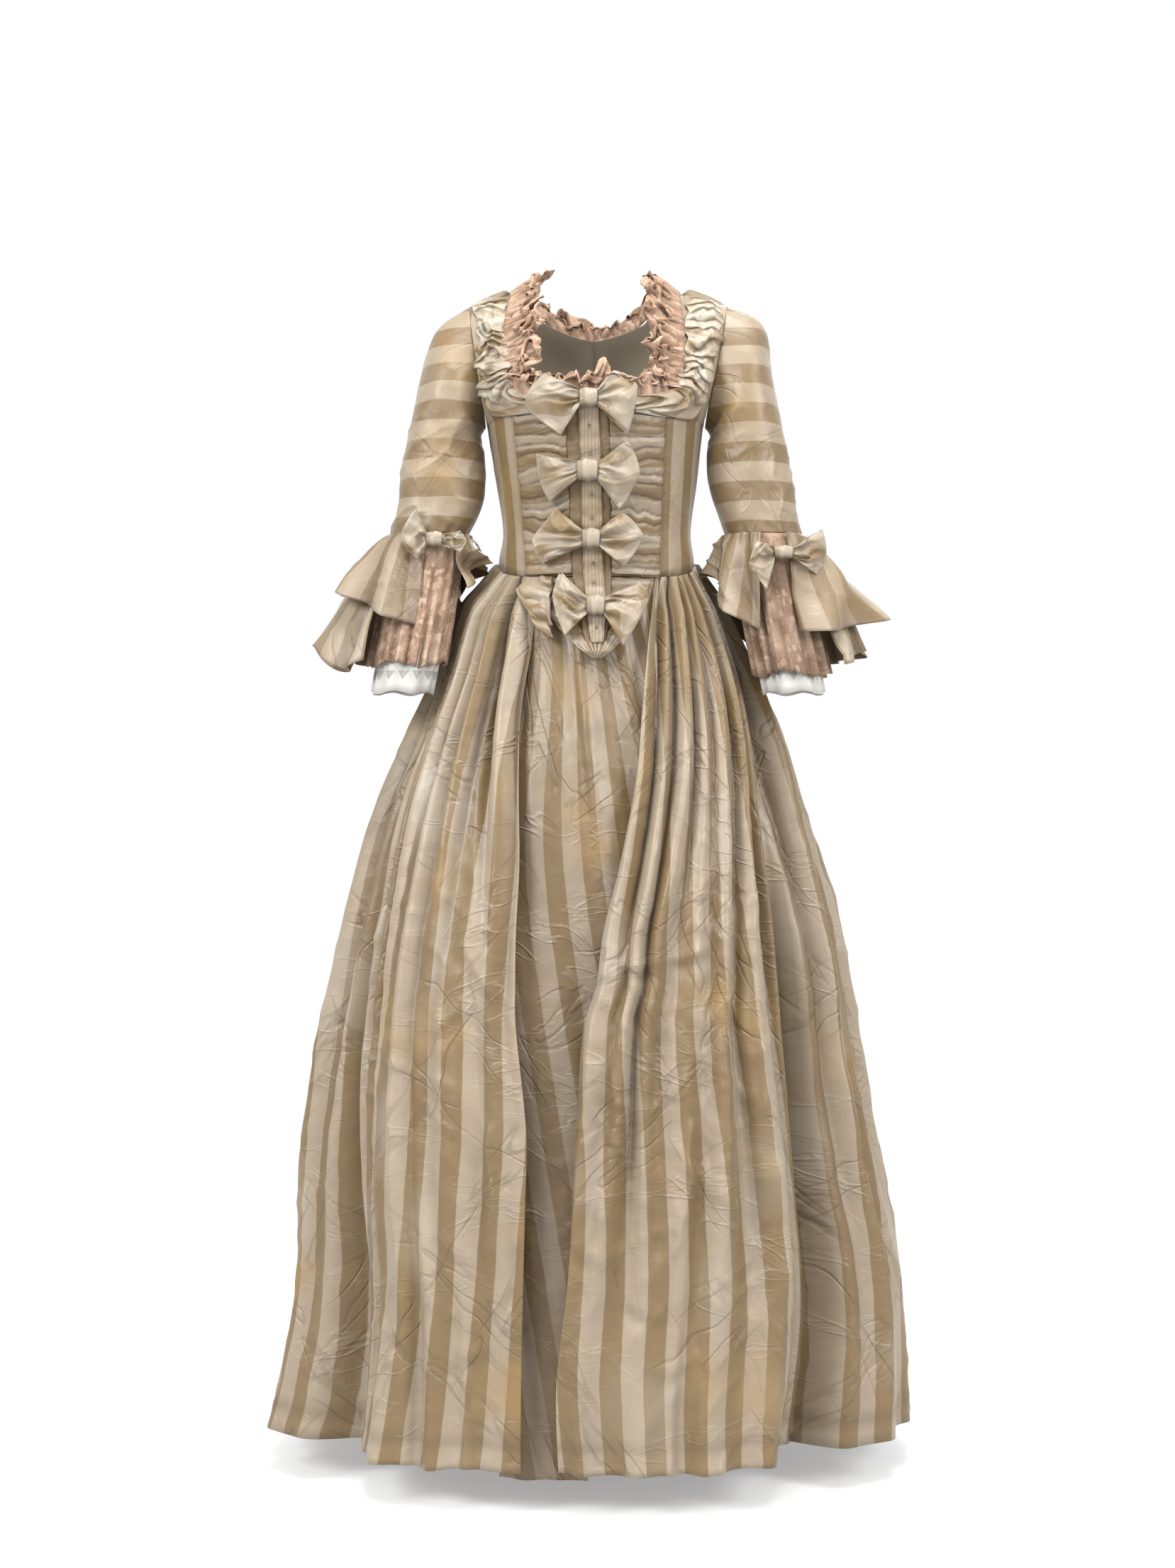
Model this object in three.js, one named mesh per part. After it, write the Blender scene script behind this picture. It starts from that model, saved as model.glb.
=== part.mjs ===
// An English gown of striped silk taffeta, worn over a matching petticoat and left hollow.
//
// Units are millimetres, +Z is up, +X is the wearer's left and the wearer faces -Y.
// The origin is the middle of the shoulder line, which is where the gown hangs on its wearer.
// "right" and "left" are the wearer's own. Heights in the tables are above the floor.

import * as THREE from "three";

const SHOULDER_HEIGHT = 1465; // from the floor to the origin
const CLOTH = 2; // thickness of a silk wall
const LACE = 1.5; // thickness of a lace wall
const SEAM = 0.3; // gap between neighbouring pieces

const WAIST_HEIGHT = 1140; // waist seam at the sides and the back
const WAIST_DIP = 26; // how far the waist seam drops at the centre front
const HEM_HEIGHT = 55;
const PETTICOAT_HEM_HEIGHT = 40;
const BUST_HEIGHT = 1330; // above it the front curves in to the shoulder
const BLADE_HEIGHT = 1370; // above it the back curves in to the shoulder
const NECKLINE_HEIGHT = 1342; // top of the stomacher
const CENTRE_Y = 8; // depth of the side seams and of the shoulder line
const SHOULDER_SLOPE = 0.3;
const NECK_POINT = { x: 88, height: 1487 }; // where the shoulder seam meets the neckline
const BACK_NECK_HEIGHT = 1440;

const DEGREE = Math.PI / 180;
const RIGHT = { name: "right", sign: -1 };
const LEFT = { name: "left", sign: 1 };
const SIDES = [RIGHT, LEFT];

// ---------------------------------------------------------------- materials

const silk = new THREE.MeshStandardMaterial({ color: 0xc9b48c, roughness: 0.5, metalness: 0 });
const tanSilk = new THREE.MeshStandardMaterial({ color: 0xb4966c, roughness: 0.5, metalness: 0 });
const lace = new THREE.MeshStandardMaterial({ color: 0xa9856a, roughness: 0.9, metalness: 0 });
const gauze = new THREE.MeshStandardMaterial({ color: 0xe8e6de, roughness: 0.85, metalness: 0 });

// ---------------------------------------------------------------- tables

// Half widths to the wearer's right and left, and depths before and behind CENTRE_Y.
const TORSO = [
  { height: 1060, right: 121.5, left: 126.9, front: 103, back: 82 },
  { height: 1140, right: 121.5, left: 126.9, front: 103, back: 82 },
  { height: 1177, right: 115, left: 122, front: 105, back: 80 },
  { height: 1240, right: 124, left: 130, front: 115, back: 86 },
  { height: 1301, right: 134, left: 137, front: 124, back: 91 },
  { height: 1330, right: 139, left: 141, front: 126, back: 94 },
  { height: 1370, right: 149, left: 151, front: 126, back: 96 },
  { height: 1420, right: 161, left: 165, front: 126, back: 96 },
  { height: 1500, right: 176, left: 184, front: 126, back: 96 },
];

// The same by the drop below the waist seam, for the skirt's smooth form.
const SKIRT = [
  { drop: 0, right: 121.5, left: 126.9, front: 103, back: 82, centre: 8 },
  { drop: 25, right: 142, left: 144, front: 112, back: 110, centre: 10 },
  { drop: 49, right: 163, left: 160, front: 121, back: 135, centre: 12 },
  { drop: 132, right: 193, left: 200, front: 148, back: 180, centre: 16 },
  { drop: 209, right: 228, left: 232, front: 167, back: 215, centre: 20 },
  { drop: 307, right: 270, left: 264, front: 189, back: 250, centre: 25 },
  { drop: 400, right: 296, left: 292, front: 208, back: 270, centre: 30 },
  { drop: 503, right: 322, left: 314, front: 225, back: 288, centre: 35 },
  { drop: 633, right: 349, left: 333, front: 242, back: 308, centre: 40 },
  { drop: 764, right: 362, left: 356, front: 254, back: 322, centre: 44 },
  { drop: 875, right: 365, left: 380, front: 262, back: 334, centre: 47 },
  { drop: 960, right: 375, left: 391, front: 268, back: 342, centre: 49 },
  { drop: 1085, right: 402, left: 392, front: 275, back: 350, centre: 50 },
];
const FULL_DROP = WAIST_HEIGHT - HEM_HEIGHT;

// Where each bodice front ends towards the centre: the stomacher seam, then the neckline.
const FRONT_SEAM = [
  { height: 1090, right: -82, left: 81 },
  { height: 1200, right: -90, left: 83 },
  { height: 1300, right: -99, left: 87 },
  { height: 1342, right: -102, left: 91 },
  { height: 1420, right: -97, left: 95 },
  { height: 1490, right: -88, left: 91 },
];

// The open front edges of the gown skirt.
const OPEN_EDGE = [
  { height: 40, right: -86, left: -42 },
  { height: 157, right: -86, left: -45 },
  { height: 273, right: -83, left: -32 },
  { height: 366, right: -80, left: -26 },
  { height: 450, right: -79, left: -22 },
  { height: 577, right: -92, left: -13 },
  { height: 621, right: -93, left: 1 },
  { height: 685, right: -94, left: 10 },
  { height: 762, right: -96, left: 29 },
  { height: 865, right: -115, left: 48 },
  { height: 950, right: -116, left: 56 },
  { height: 1037, right: -104, left: 65 },
  { height: 1120, right: -86, left: 76 },
];

// The seams between the skirt's fronts and backs, in degrees from the centre front.
const SIDE_SEAM = [
  { drop: 0, right: 80, left: 80 },
  { drop: 345, right: 68, left: 55 },
  { drop: 763, right: 57, left: 50 },
  { drop: 1085, right: 52, left: 42 },
];

// Ridges of the skirt's folds: where each is on its panel, from the panel's first edge at 0, how
// far it stands out at the waist, halfway and at the hem, and its half width on that same scale.
const RIDGES = {
  front_right: [
    { along: 0.12, waist: 3, middle: 15, bottom: 9, width: 0.1 },
    { along: 0.38, waist: 5, middle: 14, bottom: 13, width: 0.09 },
    { along: 0.66, waist: 5, middle: 16, bottom: 16, width: 0.1 },
  ],
  front_left: [
    { along: 0.1, waist: 3, middle: 15, bottom: 8, width: 0.08 },
    { along: 0.32, waist: 5, middle: 12, bottom: 11, width: 0.07 },
    { along: 0.54, waist: 5, middle: 14, bottom: 14, width: 0.07 },
    { along: 0.76, waist: 4, middle: 12, bottom: 15, width: 0.07 },
  ],
  back_right: [
    { along: 0.16, waist: 6, middle: 15, bottom: 20, width: 0.06 },
    { along: 0.31, waist: 6, middle: 13, bottom: 12, width: 0.05 },
    { along: 0.47, waist: 6, middle: 18, bottom: 22, width: 0.06 },
    { along: 0.61, waist: 6, middle: 12, bottom: 15, width: 0.05 },
    { along: 0.76, waist: 7, middle: 18, bottom: 24, width: 0.06 },
    { along: 0.9, waist: 7, middle: 14, bottom: 16, width: 0.05 },
  ],
  back_left: [
    { along: 0.15, waist: 6, middle: 14, bottom: 18, width: 0.06 },
    { along: 0.29, waist: 6, middle: 15, bottom: 11, width: 0.05 },
    { along: 0.44, waist: 6, middle: 17, bottom: 23, width: 0.06 },
    { along: 0.6, waist: 6, middle: 12, bottom: 14, width: 0.05 },
    { along: 0.74, waist: 7, middle: 19, bottom: 25, width: 0.06 },
    { along: 0.89, waist: 7, middle: 15, bottom: 15, width: 0.05 },
  ],
};
// The valleys that the side seams lie in, as how far they go in.
const VALLEY = [
  { drop: 0, right: 0, left: 0 },
  { drop: 345, right: 6, left: 20 },
  { drop: 763, right: 22, left: 42 },
  { drop: 1085, right: 46, left: 54 },
];
const VALLEY_WIDTH = 45;
const WAIST_PLEAT = 4; // how far every second row of cloth stands out at the waist
const PLEAT_FADE = 260; // the drop over which the waist pleats open out

// The pointed basque below the waist seam, and the strip with its placket down the front.
const BASQUE = [
  { height: 1011, half: 4, centre: 2 },
  { height: 1022, half: 18, centre: 2 },
  { height: 1045, half: 41, centre: 1 },
  { height: 1075, half: 60, centre: 0 },
  { height: 1114, half: 71, centre: -1 },
];
const PLACKET = [
  { height: 1015, half: 4, centre: 2 },
  { height: 1035, half: 13, centre: 1 },
  { height: 1070, half: 19, centre: 0 },
  { height: 1116, half: 24, centre: -3 },
  { height: 1240, half: 26, centre: -6 },
  { height: 1333, half: 27, centre: -10 },
];

// Middle lines of the robings on the fronts, down from the shoulder.
const ROBING = [
  { along: 0, right: -130, left: 139, height: 1468, half: 22 },
  { along: 0.3, right: -127, left: 134, height: 1422, half: 20 },
  { along: 0.55, right: -124, left: 127, height: 1382, half: 19 },
  { along: 0.8, right: -120, left: 119, height: 1348, half: 19 },
  { along: 1, right: -103, left: 100, height: 1327, half: 15 },
];

// Front bows: the knot's middle, then each wing's upper corner, middle and lower corner.
const BOWS = [
  {
    knot: [-7, 1328], size: [12, 8, 11],
    right: [[-58, 1358], [-80, 1325], [-38, 1285]],
    left: [[22, 1357], [49, 1343], [38, 1286]],
  },
  {
    knot: [-8, 1243], size: [14, 8, 13],
    right: [[-66, 1264], [-62, 1233], [-50, 1205]],
    left: [[37, 1278], [52, 1240], [28, 1198]],
  },
  {
    knot: [-4, 1160], size: [12, 8, 12],
    right: [[-44, 1198], [-70, 1160], [-60, 1130]],
    left: [[30, 1193], [56, 1166], [33, 1124]],
  },
  {
    knot: [1, 1073], size: [12, 8, 12],
    right: [[-37, 1118], [-49, 1083], [-35, 1036]],
    left: [[52, 1103], [63, 1079], [33, 1024]],
  },
];

// Sleeve rings from the armhole to the gathered end. "outer" and "inner" are the ring's ends
// across the arm, as distance from the centre line and height; "y" its middle, "deep" its half depth.
const SLEEVE = {
  right: [
    { outer: [159, 1466], inner: [138, 1313], y: 8, deep: 48 },
    { outer: [202, 1435], inner: [143, 1304], y: 5, deep: 58 },
    { outer: [223, 1371], inner: [142, 1293], y: 2, deep: 60 },
    { outer: [236, 1312], inner: [140, 1276], y: -2, deep: 57 },
    { outer: [242, 1262], inner: [138, 1240], y: -6, deep: 54 },
    { outer: [249, 1208], inner: [143, 1205], y: -11, deep: 51 },
    { outer: [255, 1172], inner: [159, 1172], y: -15, deep: 48 },
  ],
  left: [
    { outer: [168, 1468], inner: [141, 1313], y: 8, deep: 48 },
    { outer: [212, 1445], inner: [146, 1304], y: 5, deep: 58 },
    { outer: [228, 1378], inner: [145, 1293], y: 2, deep: 60 },
    { outer: [238, 1320], inner: [143, 1276], y: -2, deep: 57 },
    { outer: [247, 1262], inner: [144, 1243], y: -6, deep: 54 },
    { outer: [256, 1210], inner: [155, 1203], y: -11, deep: 51 },
    { outer: [261, 1172], inner: [165, 1172], y: -15, deep: 48 },
  ],
};
const SLEEVE_END = { right: [-207, -15], left: [213, -15], radius: 48, height: 1172 };
const WRIST = { right: [-239, -49], left: [249, -47], height: 973 };

// Hems of the flounces round the arm: angle from the outside towards the front, how far the hem
// stands from the arm's middle, and its height.
const FLOUNCES = {
  upper: {
    right: [
      { round: 85, reach: 72, height: 1054 },
      { round: 45, reach: 95, height: 1075 },
      { round: 10, reach: 112, height: 1104 },
      { round: -30, reach: 112, height: 1100 },
      { round: -80, reach: 98, height: 1085 },
      { round: -130, reach: 72, height: 1114 },
      { round: -180, reach: 67, height: 1138 },
      { round: -205, reach: 60, height: 1118 },
      { round: -228, reach: 60, height: 1101 },
    ],
    left: [
      { round: 62, reach: 84, height: 1047 },
      { round: 35, reach: 110, height: 1050 },
      { round: 5, reach: 146, height: 1067 },
      { round: -30, reach: 130, height: 1080 },
      { round: -80, reach: 100, height: 1085 },
      { round: -130, reach: 72, height: 1112 },
      { round: -180, reach: 64, height: 1124 },
      { round: -215, reach: 66, height: 1084 },
      { round: -262, reach: 78, height: 1050 },
    ],
  },
  lower: {
    right: [
      { round: 45, reach: 103, height: 1012 },
      { round: 20, reach: 120, height: 1000 },
      { round: 0, reach: 138, height: 1035 },
      { round: -30, reach: 130, height: 1020 },
      { round: -70, reach: 114, height: 1014 },
      { round: -100, reach: 96, height: 1042 },
      { round: -125, reach: 66, height: 1092 },
    ],
    left: [
      { round: 35, reach: 100, height: 1008 },
      { round: 0, reach: 137, height: 1028 },
      { round: -30, reach: 126, height: 1018 },
      { round: -70, reach: 110, height: 1016 },
      { round: -100, reach: 94, height: 1044 },
      { round: -125, reach: 64, height: 1094 },
    ],
  },
};

// Sleeve bows: the same columns as the front bows, seen from the front. "seat" is how far the
// knot's middle is from the arm's, and "spread" how far the rims stand out beyond that.
const SLEEVE_BOWS = {
  right: {
    knot: [-198, 1163], size: [11, 7, 9], seat: 56.4, spread: 9,
    outer: [[-220, 1199], [-240, 1166], [-219, 1136]],
    inner: [[-166, 1172], [-158, 1160], [-166, 1147]],
  },
  left: {
    knot: [233, 1146], size: [13, 8, 8], seat: 62.9, spread: 14,
    outer: [[283, 1176], [290, 1146], [275, 1118]],
    inner: [[199, 1157], [189, 1128], [211, 1098]],
  },
};

// ---------------------------------------------------------------- small helpers

const mix = (a, b, t) => a + (b - a) * t;
const mixPoints = (a, b, t) => a.map((value, k) => mix(value, b[k], t));
const limit = (value, low, high) => Math.min(high, Math.max(low, value));

// A column of a table at a key between its rows, on a smooth curve through them.
function read(table, key, at, column) {
  const rising = table[0][key] < table[table.length - 1][key];
  const rows = rising ? table : [...table].reverse();
  let k = 0;
  while (k < rows.length - 2 && at > rows[k + 1][key]) k += 1;
  const before = rows[Math.max(k - 1, 0)];
  const [low, high] = [rows[k], rows[k + 1]];
  const after = rows[Math.min(k + 2, rows.length - 1)];
  const span = high[key] - low[key];
  const t = limit((at - low[key]) / span, 0, 1);
  const startSlope = ((high[column] - before[column]) / (high[key] - before[key])) * span;
  const endSlope = ((after[column] - low[column]) / (after[key] - low[key])) * span;
  const rise = high[column] - low[column];
  const bend = (startSlope + endSlope - 2 * rise) * t + (3 * rise - 2 * startSlope - endSlope);
  return low[column] + t * (startSlope + t * bend);
}

const sideOf = (angle) => (angle < 0 ? "right" : "left");

// ---------------------------------------------------------------- the wall builder

// A closed cloth wall from a grid of points. face(u, v) gives a point for u and v from 0 to 1.
// The wall grows from the face along its normal, by a thickness that may be negative.
// A tube joins u = 0 to u = 1.
function wall(name, material, columns, rows, face, { thickness = CLOTH, tube = false } = {}) {
  const width = tube ? columns : columns + 1;
  const height = rows + 1;
  const grid = [];
  for (let i = 0; i < width; i += 1) {
    for (let j = 0; j < height; j += 1) {
      grid.push(new THREE.Vector3(...face(i / columns, j / rows)));
    }
  }
  const at = (i, j) => (tube ? (i + width) % width : limit(i, 0, width - 1)) * height + j;
  const positions = grid.map((point) => point.toArray());
  for (let i = 0; i < width; i += 1) {
    for (let j = 0; j < height; j += 1) {
      const across = grid[at(i + 1, j)].clone().sub(grid[at(i - 1, j)]);
      const down = grid[at(i, Math.min(j + 1, rows))].clone().sub(grid[at(i, Math.max(j - 1, 0))]);
      const normal = across.cross(down).normalize();
      positions.push(grid[at(i, j)].clone().addScaledVector(normal, thickness).toArray());
    }
  }
  const other = grid.length;
  const faces = [];
  const quad = (a, b, c, d) => faces.push(a, b, c, a, c, d);
  const strips = tube ? width : width - 1;
  for (let i = 0; i < strips; i += 1) {
    for (let j = 0; j < rows; j += 1) {
      const [a, b, c, d] = [at(i, j), at(i + 1, j), at(i + 1, j + 1), at(i, j + 1)];
      quad(a, b, c, d);
      quad(other + d, other + c, other + b, other + a);
    }
    quad(at(i + 1, 0), at(i, 0), other + at(i, 0), other + at(i + 1, 0));
    quad(at(i, rows), at(i + 1, rows), other + at(i + 1, rows), other + at(i, rows));
  }
  for (let j = 0; j < rows && !tube; j += 1) {
    quad(at(0, j), at(0, j + 1), other + at(0, j + 1), other + at(0, j));
    const last = width - 1;
    quad(at(last, j + 1), at(last, j), other + at(last, j), other + at(last, j + 1));
  }
  const mesh = new THREE.Mesh(closedGeometry(positions, faces), material);
  mesh.name = name;
  mesh.position.z = -SHOULDER_HEIGHT;
  return mesh;
}

// A geometry whose faces all point out: they are turned over if their volume comes out negative.
function closedGeometry(positions, faces) {
  let volume = 0;
  const corner = new THREE.Vector3();
  for (let k = 0; k < faces.length; k += 3) {
    const [a, b, c] = [0, 1, 2].map((n) => new THREE.Vector3(...positions[faces[k + n]]));
    volume += a.dot(corner.crossVectors(b, c));
  }
  const ordered = volume < 0 ? [...faces].reverse() : faces;
  const geometry = new THREE.BufferGeometry();
  geometry.setAttribute("position", new THREE.Float32BufferAttribute(positions.flat(), 3));
  geometry.setIndex(ordered);
  geometry.computeVertexNormals();
  return geometry;
}

function knotMesh(name, centre, size) {
  const geometry = new THREE.SphereGeometry(1, 8, 4);
  geometry.scale(size[0], size[1], size[2]);
  const mesh = new THREE.Mesh(geometry, silk);
  mesh.name = name;
  mesh.position.set(centre[0], centre[1], centre[2] - SHOULDER_HEIGHT);
  return mesh;
}

// ---------------------------------------------------------------- the body's form

const shoulderLine = (x) => NECK_POINT.height - SHOULDER_SLOPE * (Math.abs(x) - NECK_POINT.x);

function waistSeam(angle) {
  const round = Math.min(Math.abs(angle), Math.PI / 2) / (Math.PI / 2);
  return WAIST_HEIGHT - WAIST_DIP * (1 - round ** 3);
}

// How far the surface has closed in towards the shoulder line, from 1 at its start to 0.
function closing(x, height, start, power) {
  const q = limit((height - start) / (shoulderLine(x) - start), 0, 1);
  return (1 - q ** power) ** (1 / power);
}

function torso(angle, height) {
  const front = Math.cos(angle) > 0;
  const [start, power, column] = front
    ? [BUST_HEIGHT, 1.5, "front"]
    : [BLADE_HEIGHT, 2, "back"];
  const width = read(TORSO, "height", height, sideOf(angle));
  const depth = read(TORSO, "height", Math.min(height, start), column) * (front ? -1 : 1);
  const depthAt = (x) =>
    depth * Math.sqrt(Math.max(1 - (x / width) ** 2, 0)) * closing(x, height, start, power);
  const x = width * Math.sin(angle);
  const y = CENTRE_Y + depthAt(x);
  const arm = SLEEVE[sideOf(angle)][0];
  const up = (height - arm.inner[1]) / (arm.outer[1] - arm.inner[1]);
  if (up <= 0) return [x, y, height];
  // Beside the armhole the surface swells to meet the armhole's edge.
  const t = Math.min(up, 1);
  const edgeX = mix(arm.inner[0], arm.outer[0], t);
  const edgeY = arm.y + (front ? -2 : 2) * arm.deep * Math.sqrt(t * (1 - t));
  const share = Math.min(Math.abs(x) / edgeX, 1) ** 8;
  return [x, y + share * (edgeY - CENTRE_Y - depthAt(edgeX)), height];
}

// The skirt's smooth form, and the same pushed out along its plan's normal.
function skirtForm(angle, drop, lift = 0) {
  const width = read(SKIRT, "drop", drop, sideOf(angle));
  const depth = read(SKIRT, "drop", drop, Math.cos(angle) > 0 ? "front" : "back");
  const centre = read(SKIRT, "drop", drop, "centre");
  const normal = [Math.sin(angle) / width, -Math.cos(angle) / depth];
  const length = Math.hypot(...normal);
  const seam = waistSeam(angle);
  return [
    width * Math.sin(angle) + (lift * normal[0]) / length,
    centre - depth * Math.cos(angle) + (lift * normal[1]) / length,
    seam - SEAM / 2 - (drop / FULL_DROP) * (seam - HEM_HEIGHT),
  ];
}

const dropAt = (angle, height) => {
  const seam = waistSeam(angle);
  return ((seam - height) / (seam - HEM_HEIGHT)) * FULL_DROP;
};

// The front or the back at a given x and height, raised off the form.
function onBody(x, height, lift, behind = false) {
  const place = (px, pz) => {
    const inSkirt = pz < waistSeam(0);
    const side = px < 0 ? "right" : "left";
    const width = inSkirt
      ? read(SKIRT, "drop", dropAt(0, pz), side)
      : read(TORSO, "height", pz, side);
    const angle = Math.asin(limit(px / width, -1, 1));
    if (inSkirt) return [px, skirtForm(angle, dropAt(0, pz))[1], pz];
    const [, y] = torso(behind ? Math.PI - angle : angle, pz);
    return [px, y, pz];
  };
  const step = 2;
  const here = place(x, height);
  const [, left] = place(x - step, height);
  const [, right] = place(x + step, height);
  const [, below] = place(x, height - step);
  const [, above] = place(x, height + step);
  const slopes = [(right - left) / (2 * step), (above - below) / (2 * step)];
  const turn = behind ? 1 : -1;
  const length = Math.hypot(slopes[0], 1, slopes[1]);
  return [
    here[0] - (turn * slopes[0] * lift) / length,
    here[1] + (turn * lift) / length,
    here[2] - (turn * slopes[1] * lift) / length,
  ];
}

// ---------------------------------------------------------------- bodice

const ARMHOLE_STEPS = 8; // rows of a panel beside half an armhole
const LOW_ROWS = [0, 0.25, 0.55, 0.85]; // rows below it, from the waist to the underarm

function sleeveRing(side, ring, turn) {
  const { outer, inner, y, deep } = ring;
  const t = (1 + Math.cos(turn)) / 2;
  return [
    side.sign * mix(inner[0], outer[0], t),
    y - deep * Math.sin(turn),
    mix(inner[1], outer[1], t),
  ];
}

// The side seam and the armhole's front or back half, as points up a panel's outer edge.
function outerEdge(side, row, behind) {
  const arm = SLEEVE[side.name][0];
  if (row >= LOW_ROWS.length) {
    const turn = Math.PI * (1 - (row - LOW_ROWS.length) / ARMHOLE_STEPS);
    return sleeveRing(side, arm, behind ? -turn : turn);
  }
  const height = mix(WAIST_HEIGHT + SEAM / 2, arm.inner[1], LOW_ROWS[row]);
  const [x, y] = torso((side.sign * Math.PI) / 2, height);
  return [x, y, height];
}

function bodicePanel(side, behind) {
  const rows = LOW_ROWS.length + ARMHOLE_STEPS;
  const seamGap = (SEAM / 2) * side.sign;
  const topHeight = behind ? BACK_NECK_HEIGHT : NECK_POINT.height;
  const face = (u, v) => {
    const edge = outerEdge(side, Math.round(v * rows), behind);
    const [edgeX, edgeY, edgeHeight] = edge;
    const level = (edgeHeight - WAIST_HEIGHT) / (SLEEVE[side.name][0].outer[1] - WAIST_HEIGHT);
    const startHeight = mix(WAIST_HEIGHT - (behind ? 0 : WAIST_DIP), topHeight, level);
    const startX = behind ? 0 : read(FRONT_SEAM, "height", startHeight, side.name);
    const startWidth = read(TORSO, "height", startHeight, side.name);
    const edgeWidth = read(TORSO, "height", edgeHeight, side.name);
    const from = Math.asin(startX / startWidth);
    const to = Math.asin(limit(edgeX / edgeWidth, -1, 1));
    const frontAngle = mix(from, to, u);
    const angle = behind ? Math.PI * side.sign - frontAngle : frontAngle;
    const neckLift = behind ? neckCurve(u) * level ** 4 : 0;
    let height = mix(startHeight, edgeHeight, u) + neckLift;
    if (level < 0.01) height = waistSeam(angle) + SEAM / 2;
    const point = torso(angle, height);
    if (u === 1) point[1] = edgeY;
    if (u === 0) point[0] += seamGap;
    if (u === 1) point[1] += behind ? SEAM / 2 : -SEAM / 2;
    return point;
  };
  const name = behind ? `bodice_back_${side.name}` : `bodice_front_${side.name}`;
  const thickness = (behind ? -1 : 1) * side.sign * CLOTH;
  return wall(name, silk, behind ? 5 : 4, rows, face, { thickness });
}

// How far the top edge of a back panel rises above a straight line from the back neck to the arm.
function neckCurve(u) {
  const neck = 0.58; // the share of the panel that the neckline takes
  const corner = 34;
  return u < neck ? corner * (u / neck) ** 2 : (corner * (1 - u)) / (1 - neck);
}

// A piece on the front, between a centre line's two sides, as a table of half widths says.
function frontPiece(name, material, table, bottom, top, columns, rows, lift) {
  const face = (u, v) => {
    const height = mix(bottom, top, v);
    const half = read(table, "height", height, "half");
    const centre = read(table, "height", height, "centre");
    return onBody(centre + half * (2 * u - 1), height, lift);
  };
  return wall(name, material, columns, rows, face);
}

function stomacher() {
  const face = (u, v) => {
    const height = mix(WAIST_HEIGHT - WAIST_DIP, NECKLINE_HEIGHT, v);
    const right = read(FRONT_SEAM, "height", height, "right") + 3 * SEAM;
    const left = read(FRONT_SEAM, "height", height, "left") - 3 * SEAM;
    const [x, y] = onBody(mix(right, left, u), height + 1, 0);
    const angle = Math.asin(x / read(TORSO, "height", height, sideOf(x)));
    return [x, y, v === 0 ? waistSeam(angle) + SEAM / 2 : height];
  };
  return wall("stomacher", silk, 5, 9, face);
}

const RUCHING = { bottom: 1121, top: 1312, pleats: 8, lift: CLOTH + 0.8, pleatDepth: 2.4 };
const PLACKET_CLEARANCE = 0.6; // between the placket's edge and the ruching

function ruching(side) {
  const rows = 2 * RUCHING.pleats;
  const face = (u, v) => {
    const height = mix(RUCHING.bottom, RUCHING.top, v);
    const seam = read(FRONT_SEAM, "height", height, side.name) - side.sign * 2;
    const centre = read(PLACKET, "height", height, "centre");
    const half = read(PLACKET, "height", height, "half");
    const strip = centre + side.sign * (half + PLACKET_CLEARANCE);
    const pleat = Math.round(v * rows) % 2;
    return onBody(mix(strip, seam, u), height, RUCHING.lift + RUCHING.pleatDepth * pleat);
  };
  const thickness = side.sign > 0 ? CLOTH : -CLOTH;
  return wall(`stomacher_ruching_${side.name}`, silk, 2, rows, face, { thickness });
}

function placket() {
  const [bottom, top] = [PLACKET[0].height, PLACKET[PLACKET.length - 1].height];
  return frontPiece("front_placket", tanSilk, PLACKET, bottom, top, 2, 14, CLOTH + 1);
}

function basque() {
  const top = WAIST_HEIGHT - WAIST_DIP - 4 * SEAM;
  const face = (u, v) => {
    const height = mix(BASQUE[0].height, top, v);
    const half = read(BASQUE, "height", height, "half");
    const x = read(BASQUE, "height", height, "centre") + half * (2 * u - 1);
    return onBody(x, height, SEAM);
  };
  return wall("basque_point", silk, 6, 5, face);
}

// ---------------------------------------------------------------- neckline trims

const RUFFLE = 4; // how far a ruffle's every second fold stands out
const ROBING_LIFT = CLOTH + 1.85; // the robings lie over the bodice's wall
const SHOULDER_MARGIN = 4; // how far below the shoulder line a trim's points stay

function robing(side) {
  const rows = 12;
  const step = 0.05; // half the stretch that gives the robing's direction
  const face = (u, v) => {
    const centre = read(ROBING, "along", v, side.name);
    const height = read(ROBING, "along", v, "height");
    const half = read(ROBING, "along", v, "half");
    const next = Math.min(v + step, 1);
    const last = next - 2 * step;
    const run = read(ROBING, "along", next, side.name) - read(ROBING, "along", last, side.name);
    const fall = read(ROBING, "along", next, "height") - read(ROBING, "along", last, "height");
    const length = Math.hypot(run, fall);
    const across = half * (2 * u - 1);
    const fold = Math.round(v * rows) % 2;
    const x = centre + (across * -fall) / length;
    const z = height + (across * run) / length;
    return onBody(x, Math.min(z, shoulderLine(x) - SHOULDER_MARGIN), ROBING_LIFT + RUFFLE * fold);
  };
  return wall(`robing_${side.name}`, silk, 2, rows, face, { thickness: -CLOTH });
}

// The back of the neck, as the height of its edge at x.
const backNeck = (x) => {
  const share = Math.abs(x) / NECK_POINT.x;
  return mix(BACK_NECK_HEIGHT, NECK_POINT.height, share ** 2);
};

function robingBack() {
  const columns = 12;
  const [top, deep, lift, ruffle] = [10, 36, CLOTH + 1.6, 3];
  const face = (u, v) => {
    const x = NECK_POINT.x * (2 * u - 1);
    const fold = Math.round(u * columns) % 2;
    const edge = Math.min(backNeck(x), shoulderLine(x)) - top - deep * v;
    return onBody(x, edge, lift + ruffle * fold, true);
  };
  return wall("robing_back", silk, columns, 2, face);
}

const LACE_LIFT = CLOTH + 0.5; // the lace is sewn on over the bodice's wall

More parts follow.
